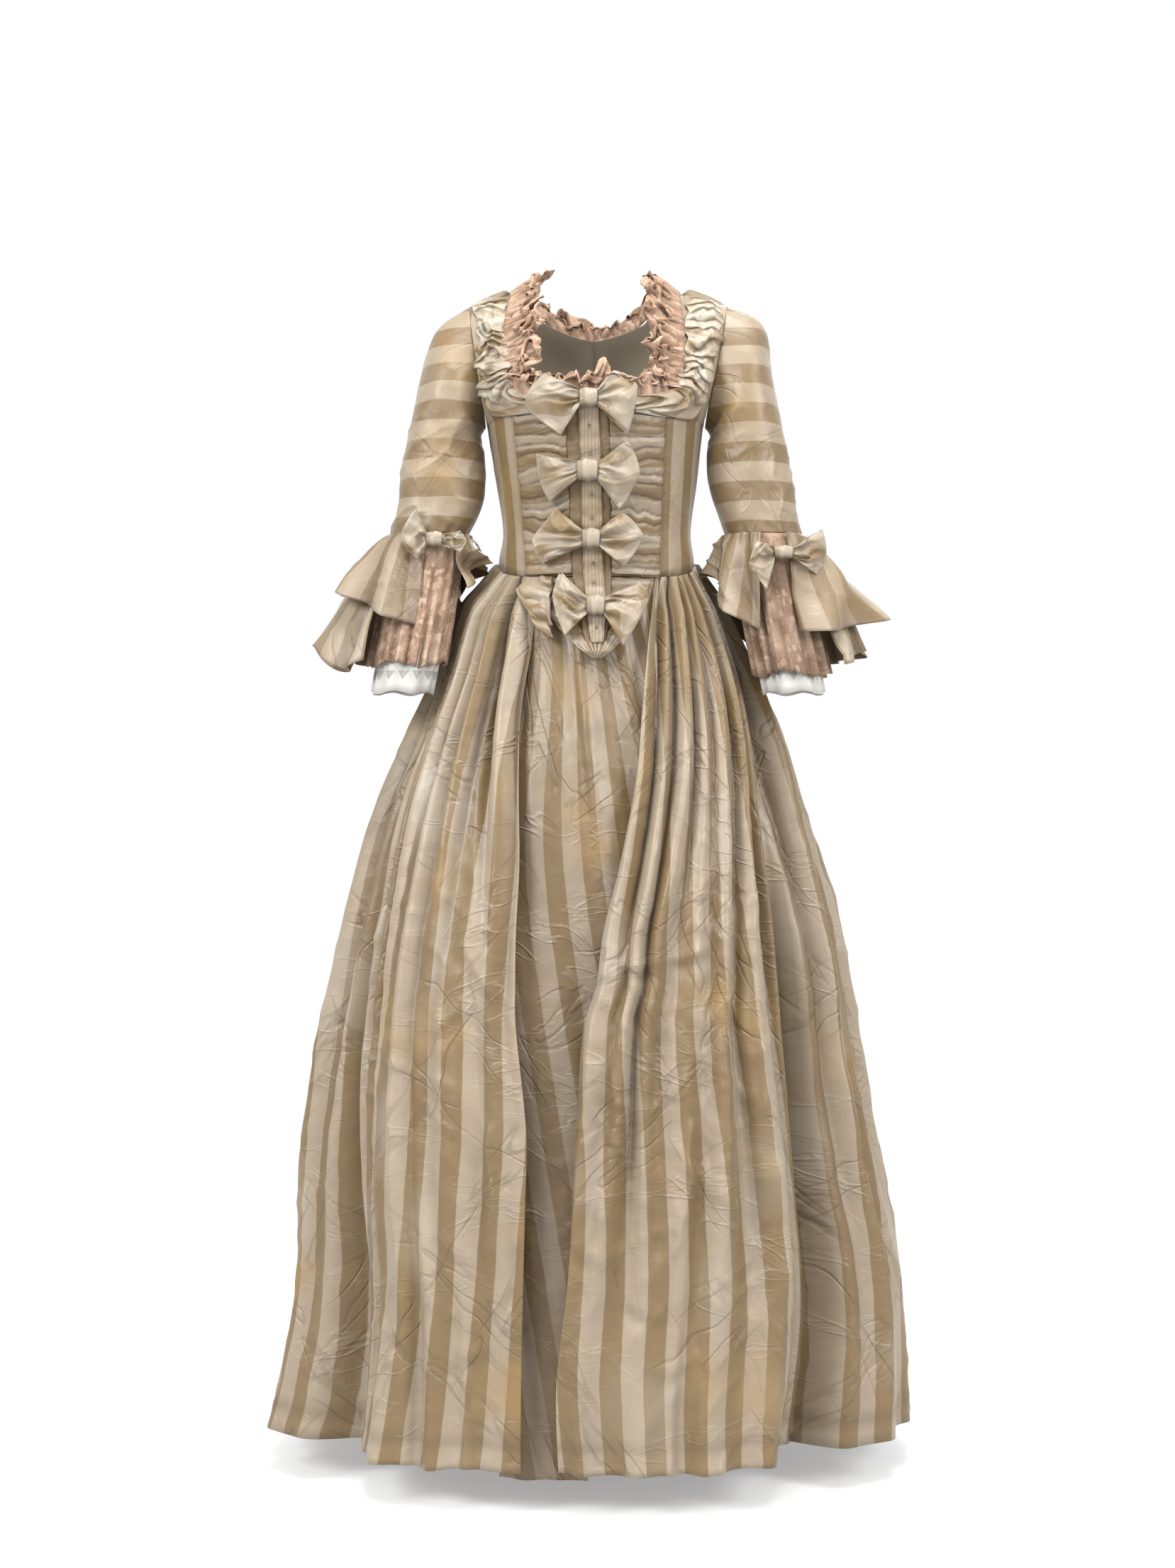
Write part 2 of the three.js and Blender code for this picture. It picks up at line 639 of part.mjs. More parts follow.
// A lace ruffle: its sewn edge and the way that it stands from there.
function laceRuffle(name, columns, sewn, stands, thickness = LACE) {
  const face = (u, v) => {
    const fold = Math.round(u * columns) % 2 ? 1 : -1;
    const [start, way] = [sewn(u), stands(u)];
    return start.map((value, k) => value + way.along[k] * v + way.out[k] * v * fold * RUFFLE);
  };
  return wall(name, lace, columns, 2, face, { thickness });
}

function neckLaceSide(side) {
  const sewn = (u) => {
    const height = mix(NECKLINE_HEIGHT + 32, NECK_POINT.height - 5, u);
    const x = read(FRONT_SEAM, "height", height, side.name) + side.sign;
    return onBody(x, height, LACE_LIFT);
  };
  const stands = (u) => ({ along: [-side.sign * 36, -12, mix(2, 22, u)], out: [0, -1, 0.3] });
  return laceRuffle(`neck_lace_${side.name}`, 12, sewn, stands, side.sign * LACE);
}

function neckLaceFront() {
  const sewn = (u) => {
    const x = mix(read(FRONT_SEAM, "height", NECKLINE_HEIGHT, "right") + 14, 77, u);
    return onBody(x, NECKLINE_HEIGHT - 5, LACE_LIFT);
  };
  const stands = () => ({ along: [0, 3, 25], out: [0, -0.6, 0] });
  return laceRuffle("neck_lace_front", 14, sewn, stands);
}

function neckLaceBack() {
  const sewn = (u) => {
    const x = mix(-80, 80, u);
    return onBody(x, backNeck(x) - 6, LACE_LIFT + LACE, true);
  };
  const stands = () => ({ along: [0, 6, 30], out: [0, 1, 0] });
  return laceRuffle("neck_lace_back", 16, sewn, stands);
}

// ---------------------------------------------------------------- bows

const BOW_LIFT = 13.3; // from the form to the middle of a front bow's knot

// One wing of a bow, fanned from its knot to an outer edge through three points. place(x, height,
// lift) puts a point of the bow's plan on what carries it; lift says how far off it the knot and
// the rim are, and how far the wing starts from the knot.
function bowWing(name, knot, size, edge, place, lift) {
  const folds = 6;
  const centre = place(knot[0], knot[1], lift.knot);
  const outward = Math.sign(edge[1][0] - knot[0]);
  const face = (u, v) => {
    const root = [
      centre[0] + outward * (size[0] + lift.gap),
      centre[1] + CLOTH / 2,
      centre[2] + size[2] * 0.5 * (1 - 2 * v),
    ];
    const weights = [(1 - v) * (1 - 2 * v), 4 * v * (1 - v), v * (2 * v - 1)];
    const rim = [0, 1].map((k) => edge.reduce((sum, p, n) => sum + p[k] * weights[n], 0));
    const fold = Math.round(v * folds) % 2;
    const point = mixPoints(root, place(...rim, lift.rim + 3.5 * fold), u);
    point[1] -= 3 * Math.sin(Math.PI * u);
    return point;
  };
  return wall(name, silk, 3, folds, face, { thickness: -outward * CLOTH });
}

function frontBow(index) {
  const { knot, size } = BOWS[index];
  const base = `bow_${index + 1}`;
  const lift = { knot: BOW_LIFT, rim: BOW_LIFT - 2, gap: 0.75 };
  const wing = (side) =>
    bowWing(`${base}_${side.name}`, knot, size, BOWS[index][side.name], onBody, lift);
  return [knotMesh(`${base}_knot`, onBody(...knot, BOW_LIFT), size), ...SIDES.map(wing)];
}

const PUFF = { top: 1111, bottom: 1048, inner: -55, outer: -82, lift: CLOTH + 0.7, fullness: 5 };
const PUFF_FOLD = 2; // how far its every second row stands out

// The folded bow end at the waist, on the wearer's right of the basque.
function waistPuff() {
  const rows = 4;
  const face = (u, v) => {
    const height = mix(PUFF.top, PUFF.bottom, v);
    const x = mix(PUFF.inner, PUFF.outer, u);
    const fold = Math.round(v * rows) % 2;
    const body = PUFF.fullness * Math.sin(Math.PI * 0.8 * v);
    return onBody(x, height, PUFF.lift + body + PUFF_FOLD * fold);
  };
  return wall("waist_puff", silk, 3, rows, face);
}

// ---------------------------------------------------------------- sleeves

const SLEEVE_COLUMNS = 16;
const ARMHOLE_CLEARANCE = { right: 4, left: 3.4 }; // from the armhole's edge, past the bodice's wall

function sleeve(side) {
  const rings = SLEEVE[side.name];
  const rows = rings.length - 1;
  const face = (u, v) => {
    const row = Math.round(v * rows);
    const point = sleeveRing(side, rings[row], 2 * Math.PI * u);
    if (row === 0) point[0] += side.sign * ARMHOLE_CLEARANCE[side.name];
    return point;
  };
  const thickness = side.sign * CLOTH;
  return wall(`sleeve_${side.name}`, silk, SLEEVE_COLUMNS, rows, face, { thickness, tube: true });
}

// A point round the arm, from the sleeve's end down to the wrist.
function roundArm(side, turn, radius, height) {
  const down = (SLEEVE_END.height - height) / (SLEEVE_END.height - WRIST.height);
  const [x, y] = mixPoints(SLEEVE_END[side.name], WRIST[side.name], limit(down, 0, 1));
  return [x + side.sign * radius * Math.cos(turn), y - radius * Math.sin(turn), height];
}

const FLOUNCE_COLUMN = 17; // degrees round the arm that a column of a flounce takes
const FLOUNCE_FOLD = { out: 4, in: -2 }; // every second column stands out and the others go in

// A flounce hangs from a ring round the sleeve's end; it is open at the front of the arm.
function flounce(level, side) {
  const table = FLOUNCES[level][side.name];
  const first = table[0].round;
  const last = table[table.length - 1].round;
  const columns = Math.round((first - last) / FLOUNCE_COLUMN);
  const ring = level === "upper"
    ? { radius: SLEEVE_END.radius + 3.5, height: SLEEVE_END.height + 1 }
    : { radius: SLEEVE_END.radius + 1, height: SLEEVE_END.height - 1.1 };
  const [centreX, centreY] = SLEEVE_END[side.name];
  const face = (u, v) => {
    const round = mix(first, last, u);
    const fold = Math.round(u * columns) % 2 ? FLOUNCE_FOLD.out : FLOUNCE_FOLD.in;
    const reach = read(table, "round", round, "reach") + fold;
    const hem = read(table, "round", round, "height");
    const spread = level === "upper" ? v ** 0.8 : v;
    const radius = mix(ring.radius, reach, spread);
    const turn = round * DEGREE;
    return [
      centreX + side.sign * radius * Math.cos(turn),
      centreY - radius * Math.sin(turn),
      mix(ring.height, hem, v),
    ];
  };
  const thickness = -side.sign * LACE;
  return wall(`flounce_${level}_${side.name}`, silk, columns, 3, face, { thickness });
}

// Lace and gauze frills round the forearm, each inside the one before.
function armFrill(name, material, side, radii, bottom, ripple, rows) {
  const face = (u, v) => {
    const fold = Math.round(u * SLEEVE_COLUMNS) % 2 ? 1 : -1;
    const radius = mix(radii[0], radii[1], v) + ripple * v * fold;
    const height = mix(SLEEVE_END.height - SEAM, bottom, v);
    return roundArm(side, 2 * Math.PI * u, radius, height);
  };
  const options = { thickness: side.sign * LACE, tube: true };
  return wall(name, material, SLEEVE_COLUMNS, rows, face, options);
}

const SLEEVE_LACE = { radii: [46, 44], bottom: { right: 1008, left: 996 }, ripple: 2.5 };
const UNDER_CUFF = { radii: [43.7, 36], ripple: 0.8 };

function sleeveLace(side) {
  const { radii, bottom, ripple } = SLEEVE_LACE;
  return armFrill(`sleeve_lace_${side.name}`, lace, side, radii, bottom[side.name], ripple, 2);
}

function underCuff(side) {
  const { radii, ripple } = UNDER_CUFF;
  return armFrill(`under_cuff_${side.name}`, gauze, side, radii, WRIST.height, ripple, 1);
}

function sleeveBow(side) {
  const { knot, size, seat, spread } = SLEEVE_BOWS[side.name];
  const [centreX, centreY] = SLEEVE_END[side.name];
  const flatter = 30; // the bow's form is this much flatter than a ring round the arm
  const place = (x, height, lift) => {
    const ring = Math.sqrt(Math.max((seat + flatter) ** 2 - (x - centreX) ** 2, 0));
    return [x, centreY + flatter - ring - lift, height];
  };
  const base = `sleeve_bow_${side.name}`;
  const lift = { knot: 0, rim: spread, gap: 0.95 };
  const wing = (end) =>
    bowWing(`${base}_${end}`, knot, size, SLEEVE_BOWS[side.name][end], place, lift);
  return [knotMesh(`${base}_knot`, place(...knot, 0), size), ...["outer", "inner"].map(wing)];
}

// ---------------------------------------------------------------- skirt

// How far a panel's folds push its cloth off the skirt's smooth form, at u along the panel and
// at a distance from the side seam.
function skirtFold(side, panel, u, drop, fromSeam) {
  const share = drop / FULL_DROP;
  let out = -read(VALLEY, "drop", drop, side.name) * Math.exp(-((fromSeam / VALLEY_WIDTH) ** 2));
  for (const ridge of RIDGES[panel]) {
    const depth = share < 0.5
      ? mix(ridge.waist, ridge.middle, share * 2)
      : mix(ridge.middle, ridge.bottom, share * 2 - 1);
    out += depth * Math.exp(-(((u - ridge.along) / ridge.width) ** 2));
  }
  return out;
}

const openAngle = (side, drop) => {
  const height = waistSeam(0) - (drop / FULL_DROP) * (waistSeam(0) - HEM_HEIGHT);
  const x = read(OPEN_EDGE, "height", height, side.name);
  return Math.asin(x / read(SKIRT, "drop", drop, x < 0 ? "right" : "left"));
};
const seamAngle = (side, drop) => side.sign * DEGREE * read(SIDE_SEAM, "drop", drop, side.name);

const SKIRT_ROWS = [0, 35, 110, 240, 420, 640, 860, FULL_DROP];

function skirtPanel(part, side, columns, from, to) {
  const panel = `${part}_${side.name}`;
  const face = (u, v) => {
    const row = Math.round(v * (SKIRT_ROWS.length - 1));
    const drop = SKIRT_ROWS[row];
    const radius = read(SKIRT, "drop", drop, side.name);
    const gap = (side.sign * SEAM) / 2 / radius;
    const angle = mix(from(drop) + gap, to(drop) - gap, u);
    const pleat = Math.round(u * columns) % 2 ? WAIST_PLEAT : 0;
    const fade = Math.max(1 - drop / PLEAT_FADE, 0);
    const fromSeam = (angle - seamAngle(side, drop)) * radius;
    return skirtForm(angle, drop, skirtFold(side, panel, u, drop, fromSeam) + pleat * fade);
  };
  // The cloth's thickness lies inside its face.
  const options = { thickness: side.sign * CLOTH };
  return wall(`skirt_${panel}`, silk, columns, SKIRT_ROWS.length - 1, face, options);
}

function skirtPieces(side) {
  const open = (drop) => openAngle(side, drop);
  const seam = (drop) => seamAngle(side, drop);
  const behind = () => side.sign * Math.PI;
  return [
    skirtPanel("front", side, side === RIGHT ? 12 : 16, open, seam),
    skirtPanel("back", side, 18, seam, behind),
  ];
}

// The petticoat front hangs inside the gown skirt and goes a little under its two edges.
function petticoat() {
  const tuck = 34; // how far it goes under each edge
  const [inset, ripple] = [12, 4]; // how far inside the skirt it hangs, and its waves
  const columns = 12;
  const face = (u, v) => {
    const row = Math.round(v * (SKIRT_ROWS.length - 1));
    const drop = SKIRT_ROWS[row];
    const width = read(SKIRT, "drop", drop, "right");
    const under = (tuck * Math.min(0.2 + drop / 300, 1)) / width;
    const angle = mix(openAngle(RIGHT, drop) - under, openAngle(LEFT, drop) + under, u);
    const hang = Math.min(drop / 120, 1);
    const wave = ripple * hang * Math.sin(5 * Math.PI * u);
    const point = skirtForm(angle, drop, 0.2 - CLOTH - inset * hang + wave);
    const lower = (HEM_HEIGHT - PETTICOAT_HEM_HEIGHT) * (drop / FULL_DROP);
    return [point[0], point[1], point[2] - lower];
  };
  return wall("petticoat_front", silk, columns, SKIRT_ROWS.length - 1, face);
}

// ---------------------------------------------------------------- the gown

const gown = new THREE.Group();
gown.add(stomacher(), placket(), basque(), waistPuff(), petticoat());
gown.add(robingBack(), neckLaceFront(), neckLaceBack());
for (let index = 0; index < BOWS.length; index += 1) gown.add(...frontBow(index));
for (const side of SIDES) {
  gown.add(bodicePanel(side, false), bodicePanel(side, true), ruching(side));
  gown.add(robing(side), neckLaceSide(side), sleeve(side), ...sleeveBow(side));
  gown.add(flounce("upper", side), flounce("lower", side), sleeveLace(side), underCuff(side));
  gown.add(...skirtPieces(side));
}

export default gown;
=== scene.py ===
"""An English gown of striped silk taffeta, worn over a matching petticoat and left hollow.

Grids of points are worked out in millimetres, with heights above the floor, and become meshes in
the model's frame in metres. +X is the wearer's left, the wearer faces -Y, and "right" and "left" are
the wearer's own.
"""

import math

import bpy
import numpy as np
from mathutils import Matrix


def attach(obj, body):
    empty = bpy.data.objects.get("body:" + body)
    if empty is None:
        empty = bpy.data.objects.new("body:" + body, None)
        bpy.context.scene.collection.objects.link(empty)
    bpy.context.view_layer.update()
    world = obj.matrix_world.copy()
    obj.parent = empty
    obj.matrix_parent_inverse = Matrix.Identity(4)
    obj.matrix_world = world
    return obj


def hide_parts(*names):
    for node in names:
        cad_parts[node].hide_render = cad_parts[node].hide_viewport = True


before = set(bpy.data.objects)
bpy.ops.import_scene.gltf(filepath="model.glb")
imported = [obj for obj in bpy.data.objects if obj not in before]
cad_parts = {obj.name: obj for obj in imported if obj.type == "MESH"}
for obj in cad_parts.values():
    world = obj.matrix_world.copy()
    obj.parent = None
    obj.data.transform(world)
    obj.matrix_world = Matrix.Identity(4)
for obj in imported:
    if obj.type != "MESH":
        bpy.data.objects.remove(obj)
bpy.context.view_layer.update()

SHOULDER_HEIGHT = 1465  # from the floor to the model's origin
METRE = 0.001
TURN = 2 * math.pi
SEAM = 0.3

WAIST_HEIGHT = 1140
WAIST_DIP = 26
HEM_HEIGHT = 55
PETTICOAT_HEM_HEIGHT = 40
FULL_DROP = WAIST_HEIGHT - HEM_HEIGHT
BUST_HEIGHT = 1330
BLADE_HEIGHT = 1370
NECKLINE_HEIGHT = 1342
CENTRE_Y = 8
SHOULDER_SLOPE = 0.3
NECK_X, NECK_HEIGHT = 88, 1487
BACK_NECK_HEIGHT = 1440
SIDES = ("right", "left")
SIGN = {"right": -1, "left": 1}

STRIPE = 0.05  # one tan and one cream stripe, in metres of cloth
FINE_STRIPE = 0.0042
CUT_APART = 0.37  # how far along the cloth from one another the pieces are cut, in metres


# ------------------------------------------------------------------ tables


def columns(names, *rows):
    """A table as a dictionary of its named columns."""
    return {name: np.array(values, float) for name, values in zip(names.split(), zip(*rows))}


TORSO = columns(
    "height right left front back",
    (1060, 121.5, 126.9, 103, 82),
    (1140, 121.5, 126.9, 103, 82),
    (1177, 115, 122, 105, 80),
    (1240, 124, 130, 115, 86),
    (1301, 134, 137, 124, 91),
    (1330, 139, 141, 126, 94),
    (1370, 149, 151, 126, 96),
    (1420, 161, 165, 126, 96),
    (1500, 176, 184, 126, 96),
)
SKIRT = columns(
    "drop right left front back centre",
    (0, 121.5, 126.9, 103, 82, 8),
    (25, 142, 144, 112, 110, 10),
    (49, 163, 160, 121, 135, 12),
    (132, 193, 200, 148, 180, 16),
    (209, 228, 232, 167, 215, 20),
    (307, 270, 264, 189, 250, 25),
    (400, 296, 292, 208, 270, 30),
    (503, 322, 314, 225, 288, 35),
    (633, 349, 333, 242, 308, 40),
    (764, 362, 356, 254, 322, 44),
    (875, 365, 380, 262, 334, 47),
    (960, 375, 391, 268, 342, 49),
    (1085, 402, 392, 275, 350, 50),
)
FRONT_SEAM = columns(
    "height right left",
    (1090, -82, 81),
    (1200, -90, 83),
    (1300, -99, 87),
    (1342, -102, 91),
    (1420, -97, 95),
    (1490, -88, 91),
)
OPEN_EDGE = columns(
    "height right left",
    (40, -86, -42),
    (157, -86, -45),
    (273, -83, -32),
    (366, -80, -26),
    (450, -79, -22),
    (577, -92, -13),
    (621, -93, 1),
    (685, -93, 10),
    (762, -90, 29),
    (865, -92, 48),
    (950, -90, 56),
    (1037, -78, 65),
    (1120, -70, 76),
)
SIDE_SEAM = columns(
    "drop right left",
    (0, 80, 80),
    (345, 68, 55),
    (763, 57, 50),
    (1085, 52, 42),
)
VALLEY = columns(
    "drop right left",
    (0, 0, 0),
    (345, 6, 20),
    (763, 22, 42),
    (1085, 46, 54),
)
VALLEY_WIDTH = 45
BASQUE = columns(
    "height half centre",
    (1011, 4, 2),
    (1022, 18, 2),
    (1045, 41, 1),
    (1075, 60, 0),
    (1114, 71, -1),
)
PLACKET = columns(
    "height half centre",
    (1015, 4, 2),
    (1035, 13, 1),
    (1070, 19, 0),
    (1116, 24, -3),
    (1240, 26, -6),
    (1333, 27, -10),
)
ROBING = columns(
    "along right left height half",
    (0, -130, 139, 1468, 22),
    (0.3, -127, 134, 1422, 20),
    (0.55, -124, 127, 1382, 19),
    (0.75, -121, 120, 1350, 20),
    (0.88, -106, 104, 1330, 17),
    (1, -48, 46, 1322, 12),
)

# Ridges of the large skirt folds: place along the panel, then how far each stands out at the
# waist, halfway and at the hem, and its half width along the panel.
RIDGES = {
    "front_right": ((0.12, 3, 15, 9, 0.1), (0.38, 5, 14, 13, 0.09), (0.66, 5, 16, 16, 0.1)),
    "front_left": (
        (0.1, 3, 15, 8, 0.08),
        (0.32, 5, 12, 11, 0.07),
        (0.54, 5, 14, 14, 0.07),
        (0.76, 4, 12, 15, 0.07),
    ),
    "back_right": (
        (0.16, 6, 15, 20, 0.06),
        (0.31, 6, 13, 12, 0.05),
        (0.47, 6, 18, 22, 0.06),
        (0.61, 6, 12, 15, 0.05),
        (0.76, 7, 18, 24, 0.06),
        (0.9, 7, 14, 16, 0.05),
    ),
    "back_left": (
        (0.15, 6, 14, 18, 0.06),
        (0.29, 6, 15, 11, 0.05),
        (0.44, 6, 17, 23, 0.06),
        (0.6, 6, 12, 14, 0.05),
        (0.74, 7, 19, 25, 0.06),
        (0.89, 7, 15, 15, 0.05),
    ),
}

# Front bows: the knot's middle, its half sizes, then each wing's upper corner, middle and lower
# corner.
BOWS = (
    {
        "knot": (-7, 1328), "size": (12, 8, 11),
        "right": ((-58, 1358), (-80, 1325), (-38, 1285)),
        "left": ((22, 1357), (49, 1343), (38, 1286)),
    },
    {
        "knot": (-8, 1243), "size": (14, 8, 13),
        "right": ((-66, 1264), (-62, 1233), (-50, 1205)),
        "left": ((37, 1278), (52, 1240), (28, 1198)),
    },
    {
        "knot": (-4, 1160), "size": (12, 8, 12),
        "right": ((-44, 1198), (-70, 1160), (-60, 1130)),
        "left": ((30, 1193), (56, 1166), (33, 1124)),
    },
    {
        "knot": (1, 1073), "size": (12, 8, 12),
        "right": ((-37, 1118), (-49, 1083), (-35, 1036)),
        "left": ((52, 1103), (63, 1079), (33, 1024)),
    },
)

# Sleeve rings from the armhole down: the outer and inner ends across the arm, as distance from
# the centre line and height, then the ring's middle y and half depth.
SLEEVE = {
    "right": columns(
        "ring outer_x outer_z inner_x inner_z y deep",
        (0, 159, 1466, 138, 1313, 8, 48),
        (1, 202, 1435, 143, 1304, 5, 58),
        (2, 223, 1371, 142, 1293, 2, 60),
        (3, 236, 1312, 140, 1276, -2, 57),
        (4, 242, 1262, 138, 1240, -6, 54),
        (5, 249, 1208, 143, 1205, -11, 51),
        (6, 255, 1172, 159, 1172, -15, 48),
    ),
    "left": columns(
        "ring outer_x outer_z inner_x inner_z y deep",
        (0, 168, 1468, 141, 1313, 8, 48),
        (1, 212, 1445, 146, 1304, 5, 58),
        (2, 228, 1378, 145, 1293, 2, 60),
        (3, 238, 1320, 143, 1276, -2, 57),
        (4, 247, 1262, 144, 1243, -6, 54),
        (5, 256, 1210, 155, 1203, -11, 51),
        (6, 261, 1172, 165, 1172, -15, 48),
    ),
}
SLEEVE_RINGS = 6
SLEEVE_END = {"right": (-207, -15), "left": (213, -15)}
SLEEVE_END_HEIGHT = 1172
WRIST = {"right": (-239, -49), "left": (249, -47)}
WRIST_HEIGHT = 973

# Hems of the flounces: degrees round the arm, reach from the arm's middle, and height.
FLOUNCES = {
    ("upper", "right"): columns(
        "round reach height",
        (-228, 60, 1101),
        (-205, 60, 1118),
        (-180, 67, 1138),
        (-130, 72, 1114),
        (-80, 98, 1085),
        (-30, 112, 1100),
        (10, 112, 1104),
        (45, 95, 1075),
        (85, 72, 1054),
    ),
    ("upper", "left"): columns(
        "round reach height",
        (-262, 78, 1050),
        (-215, 66, 1084),
        (-180, 64, 1124),
        (-130, 72, 1112),
        (-80, 100, 1085),
        (-30, 130, 1080),
        (5, 146, 1067),
        (35, 110, 1050),
        (62, 84, 1047),
    ),
    ("lower", "right"): columns(
        "round reach height",
        (-125, 66, 1092),
        (-100, 96, 1042),
        (-70, 114, 1014),
        (-30, 130, 1020),
        (0, 138, 1035),
        (20, 120, 1000),
        (45, 103, 1012),
    ),
    ("lower", "left"): columns(
        "round reach height",
        (-125, 64, 1094),
        (-100, 94, 1044),
        (-70, 110, 1016),
        (-30, 126, 1018),
        (0, 137, 1028),
        (35, 100, 1008),
    ),
}
SLEEVE_BOWS = {
    "right": {
        "knot": (-198, 1163), "size": (11, 7, 9), "seat": 56.4, "spread": 9,
        "outer": ((-220, 1199), (-240, 1166), (-219, 1136)),
        "inner": ((-166, 1172), (-158, 1160), (-166, 1147)),
    },
    "left": {
        "knot": (233, 1146), "size": (13, 8, 8), "seat": 62.9, "spread": 14,
        "outer": ((283, 1176), (290, 1146), (275, 1118)),
        "inner": ((199, 1157), (189, 1128), (211, 1098)),
    },
}

# Creases placed on the skirt's front: both ends as x and height, how far the cloth stands
# out along the crease, and the crease's half width.
CREASES = (
    (20, 646, 80, 652, 7, 7),
    (80, 652, 138, 666, 6, 6),
    (60, 640, 66, 560, 4, 8),
    (92, 900, 60, 700, 6, 10),
    (150, 880, 176, 560, 6, 12),
    (-150, 690, -128, 600, 5, 8),
    (-200, 560, -150, 600, 4, 7),
    (-122, 460, -126, 300, 6, 9),
    (-40, 330, 20, 300, 4, 7),
    (100, 420, 160, 360, 4, 8),
    (118, 470, 96, 300, 6, 9),
    (30, 260, 90, 232, 4, 6),
    (-190, 330, -140, 300, 4, 7),
    (60, 170, 132, 190, 4, 7),
    (-170, 180, -118, 205, 4, 7),
    (210, 420, 236, 220, 6, 12),
    (-252, 420, -268, 240, 5, 12),
    (20, 560, 28, 420, 5, 7),
)


# ------------------------------------------------------------------ small helpers


def mix(a, b, t):
    return a + (b - a) * t


def smooth(t):
    return t * t * (3 - 2 * t)


def bell(x, width):
    return np.exp(-((x / width) ** 2))


def between_edges(u, steepness):
    """1 inside a strip, falling to 0 at both of its edges."""
    return np.clip(steepness * u, 0, 1) * np.clip(steepness * (1 - u), 0, 1)


def at_edges(u, width):
    """1 at both edges of a strip, falling to 0 inside it."""
    return bell(np.abs(2 * u - 1) - 1, width)


def read(table, key, at, column):
    """A column of a table at keys between its rows, on a smooth curve through them."""
    keys, values = table[key], table[column]
    at = np.asarray(at, float)
    k = np.clip(np.searchsorted(keys, at) - 1, 0, len(keys) - 2)
    before = np.maximum(k - 1, 0)
    after = np.minimum(k + 2, len(keys) - 1)
    span = keys[k + 1] - keys[k]
    t = np.clip((at - keys[k]) / span, 0, 1)
    start = (values[k + 1] - values[before]) / (keys[k + 1] - keys[before]) * span
    end = (values[after] - values[k]) / (keys[after] - keys[k]) * span
    rise = values[k + 1] - values[k]
    bend = (start + end - 2 * rise) * t + (3 * rise - 2 * start - end)
    return values[k] + t * (start + t * bend)


def sided(table, key, at, x):
    """The right or the left column, by the sign of x."""
    return np.where(x < 0, read(table, key, at, "right"), read(table, key, at, "left"))


RANDOM_TABLE = np.random.default_rng(11).random((256, 256))


def noise(x, y, seed=0):
    """Smooth noise from -1 to 1 that changes over a distance of about 1."""
    x = x + 17.31 * seed
    y = y + 9.17 * seed
    i = np.floor(x).astype(int)
    j = np.floor(y).astype(int)
    fx = smooth(x - i)
    fy = smooth(y - j)
    low = mix(RANDOM_TABLE[i % 256, j % 256], RANDOM_TABLE[(i + 1) % 256, j % 256], fx)
    high = mix(
        RANDOM_TABLE[i % 256, (j + 1) % 256],
        RANDOM_TABLE[(i + 1) % 256, (j + 1) % 256],
        fx,
    )
    return 2 * mix(low, high, fy) - 1


def crinkles(x, y, seed, layers):
    """Thin creases in patches. Each layer is its turn in degrees, its size in mm and its height."""
    total = 0
    for n, (turn, size, height) in enumerate(layers):
        c, s = math.cos(math.radians(turn)), math.sin(math.radians(turn))
        along = (c * x + s * y) / (2.4 * size)
        across = (c * y - s * x) / size
        wander = 0.35 * noise(along * 1.7, across * 0.7, seed + n + 5)
        line = 1 - np.abs(noise(along, across + wander, seed + n))
        patch = np.clip(0.35 + noise(along * 0.45, across * 0.3, seed + n + 9), 0, 1)
        total = total + height * patch * line**5
    return total


def grid(nu, nv):
    """u and v from 0 to 1 over a grid."""
    return np.meshgrid(np.linspace(0, 1, nu), np.linspace(0, 1, nv), indexing="ij")


def laid(across, along):
    """Places on the cloth, in metres across and along its stripes."""
    return np.stack([across, along], axis=-1)


def points(x, y, z):
    return np.stack(np.broadcast_arrays(x, y, z), axis=-1).astype(float)


def normals(p):
    """Unit normals of a grid of points, pointing along d/du x d/dv."""
    n = np.cross(np.gradient(p, axis=0), np.gradient(p, axis=1))
    return n / np.maximum(np.linalg.norm(n, axis=-1, keepdims=True), 1e-9)


def travelled(p, axis):
    """The distance travelled over the grid along one axis, from 0 at its start."""
    steps = np.linalg.norm(np.diff(p, axis=axis), axis=-1)
    start = np.zeros_like(np.take(steps, [0], axis=axis))
    return np.concatenate([start, np.cumsum(steps, axis=axis)], axis=axis)


def area_of(p):
    """The area of a grid of points."""
    one = np.cross(p[1:, :-1] - p[:-1, :-1], p[:-1, 1:] - p[:-1, :-1])
    two = np.cross(p[:-1, 1:] - p[1:, 1:], p[1:, :-1] - p[1:, 1:])
    return 0.5 * (np.linalg.norm(one, axis=-1).sum() + np.linalg.norm(two, axis=-1).sum())


# ------------------------------------------------------------------ materials


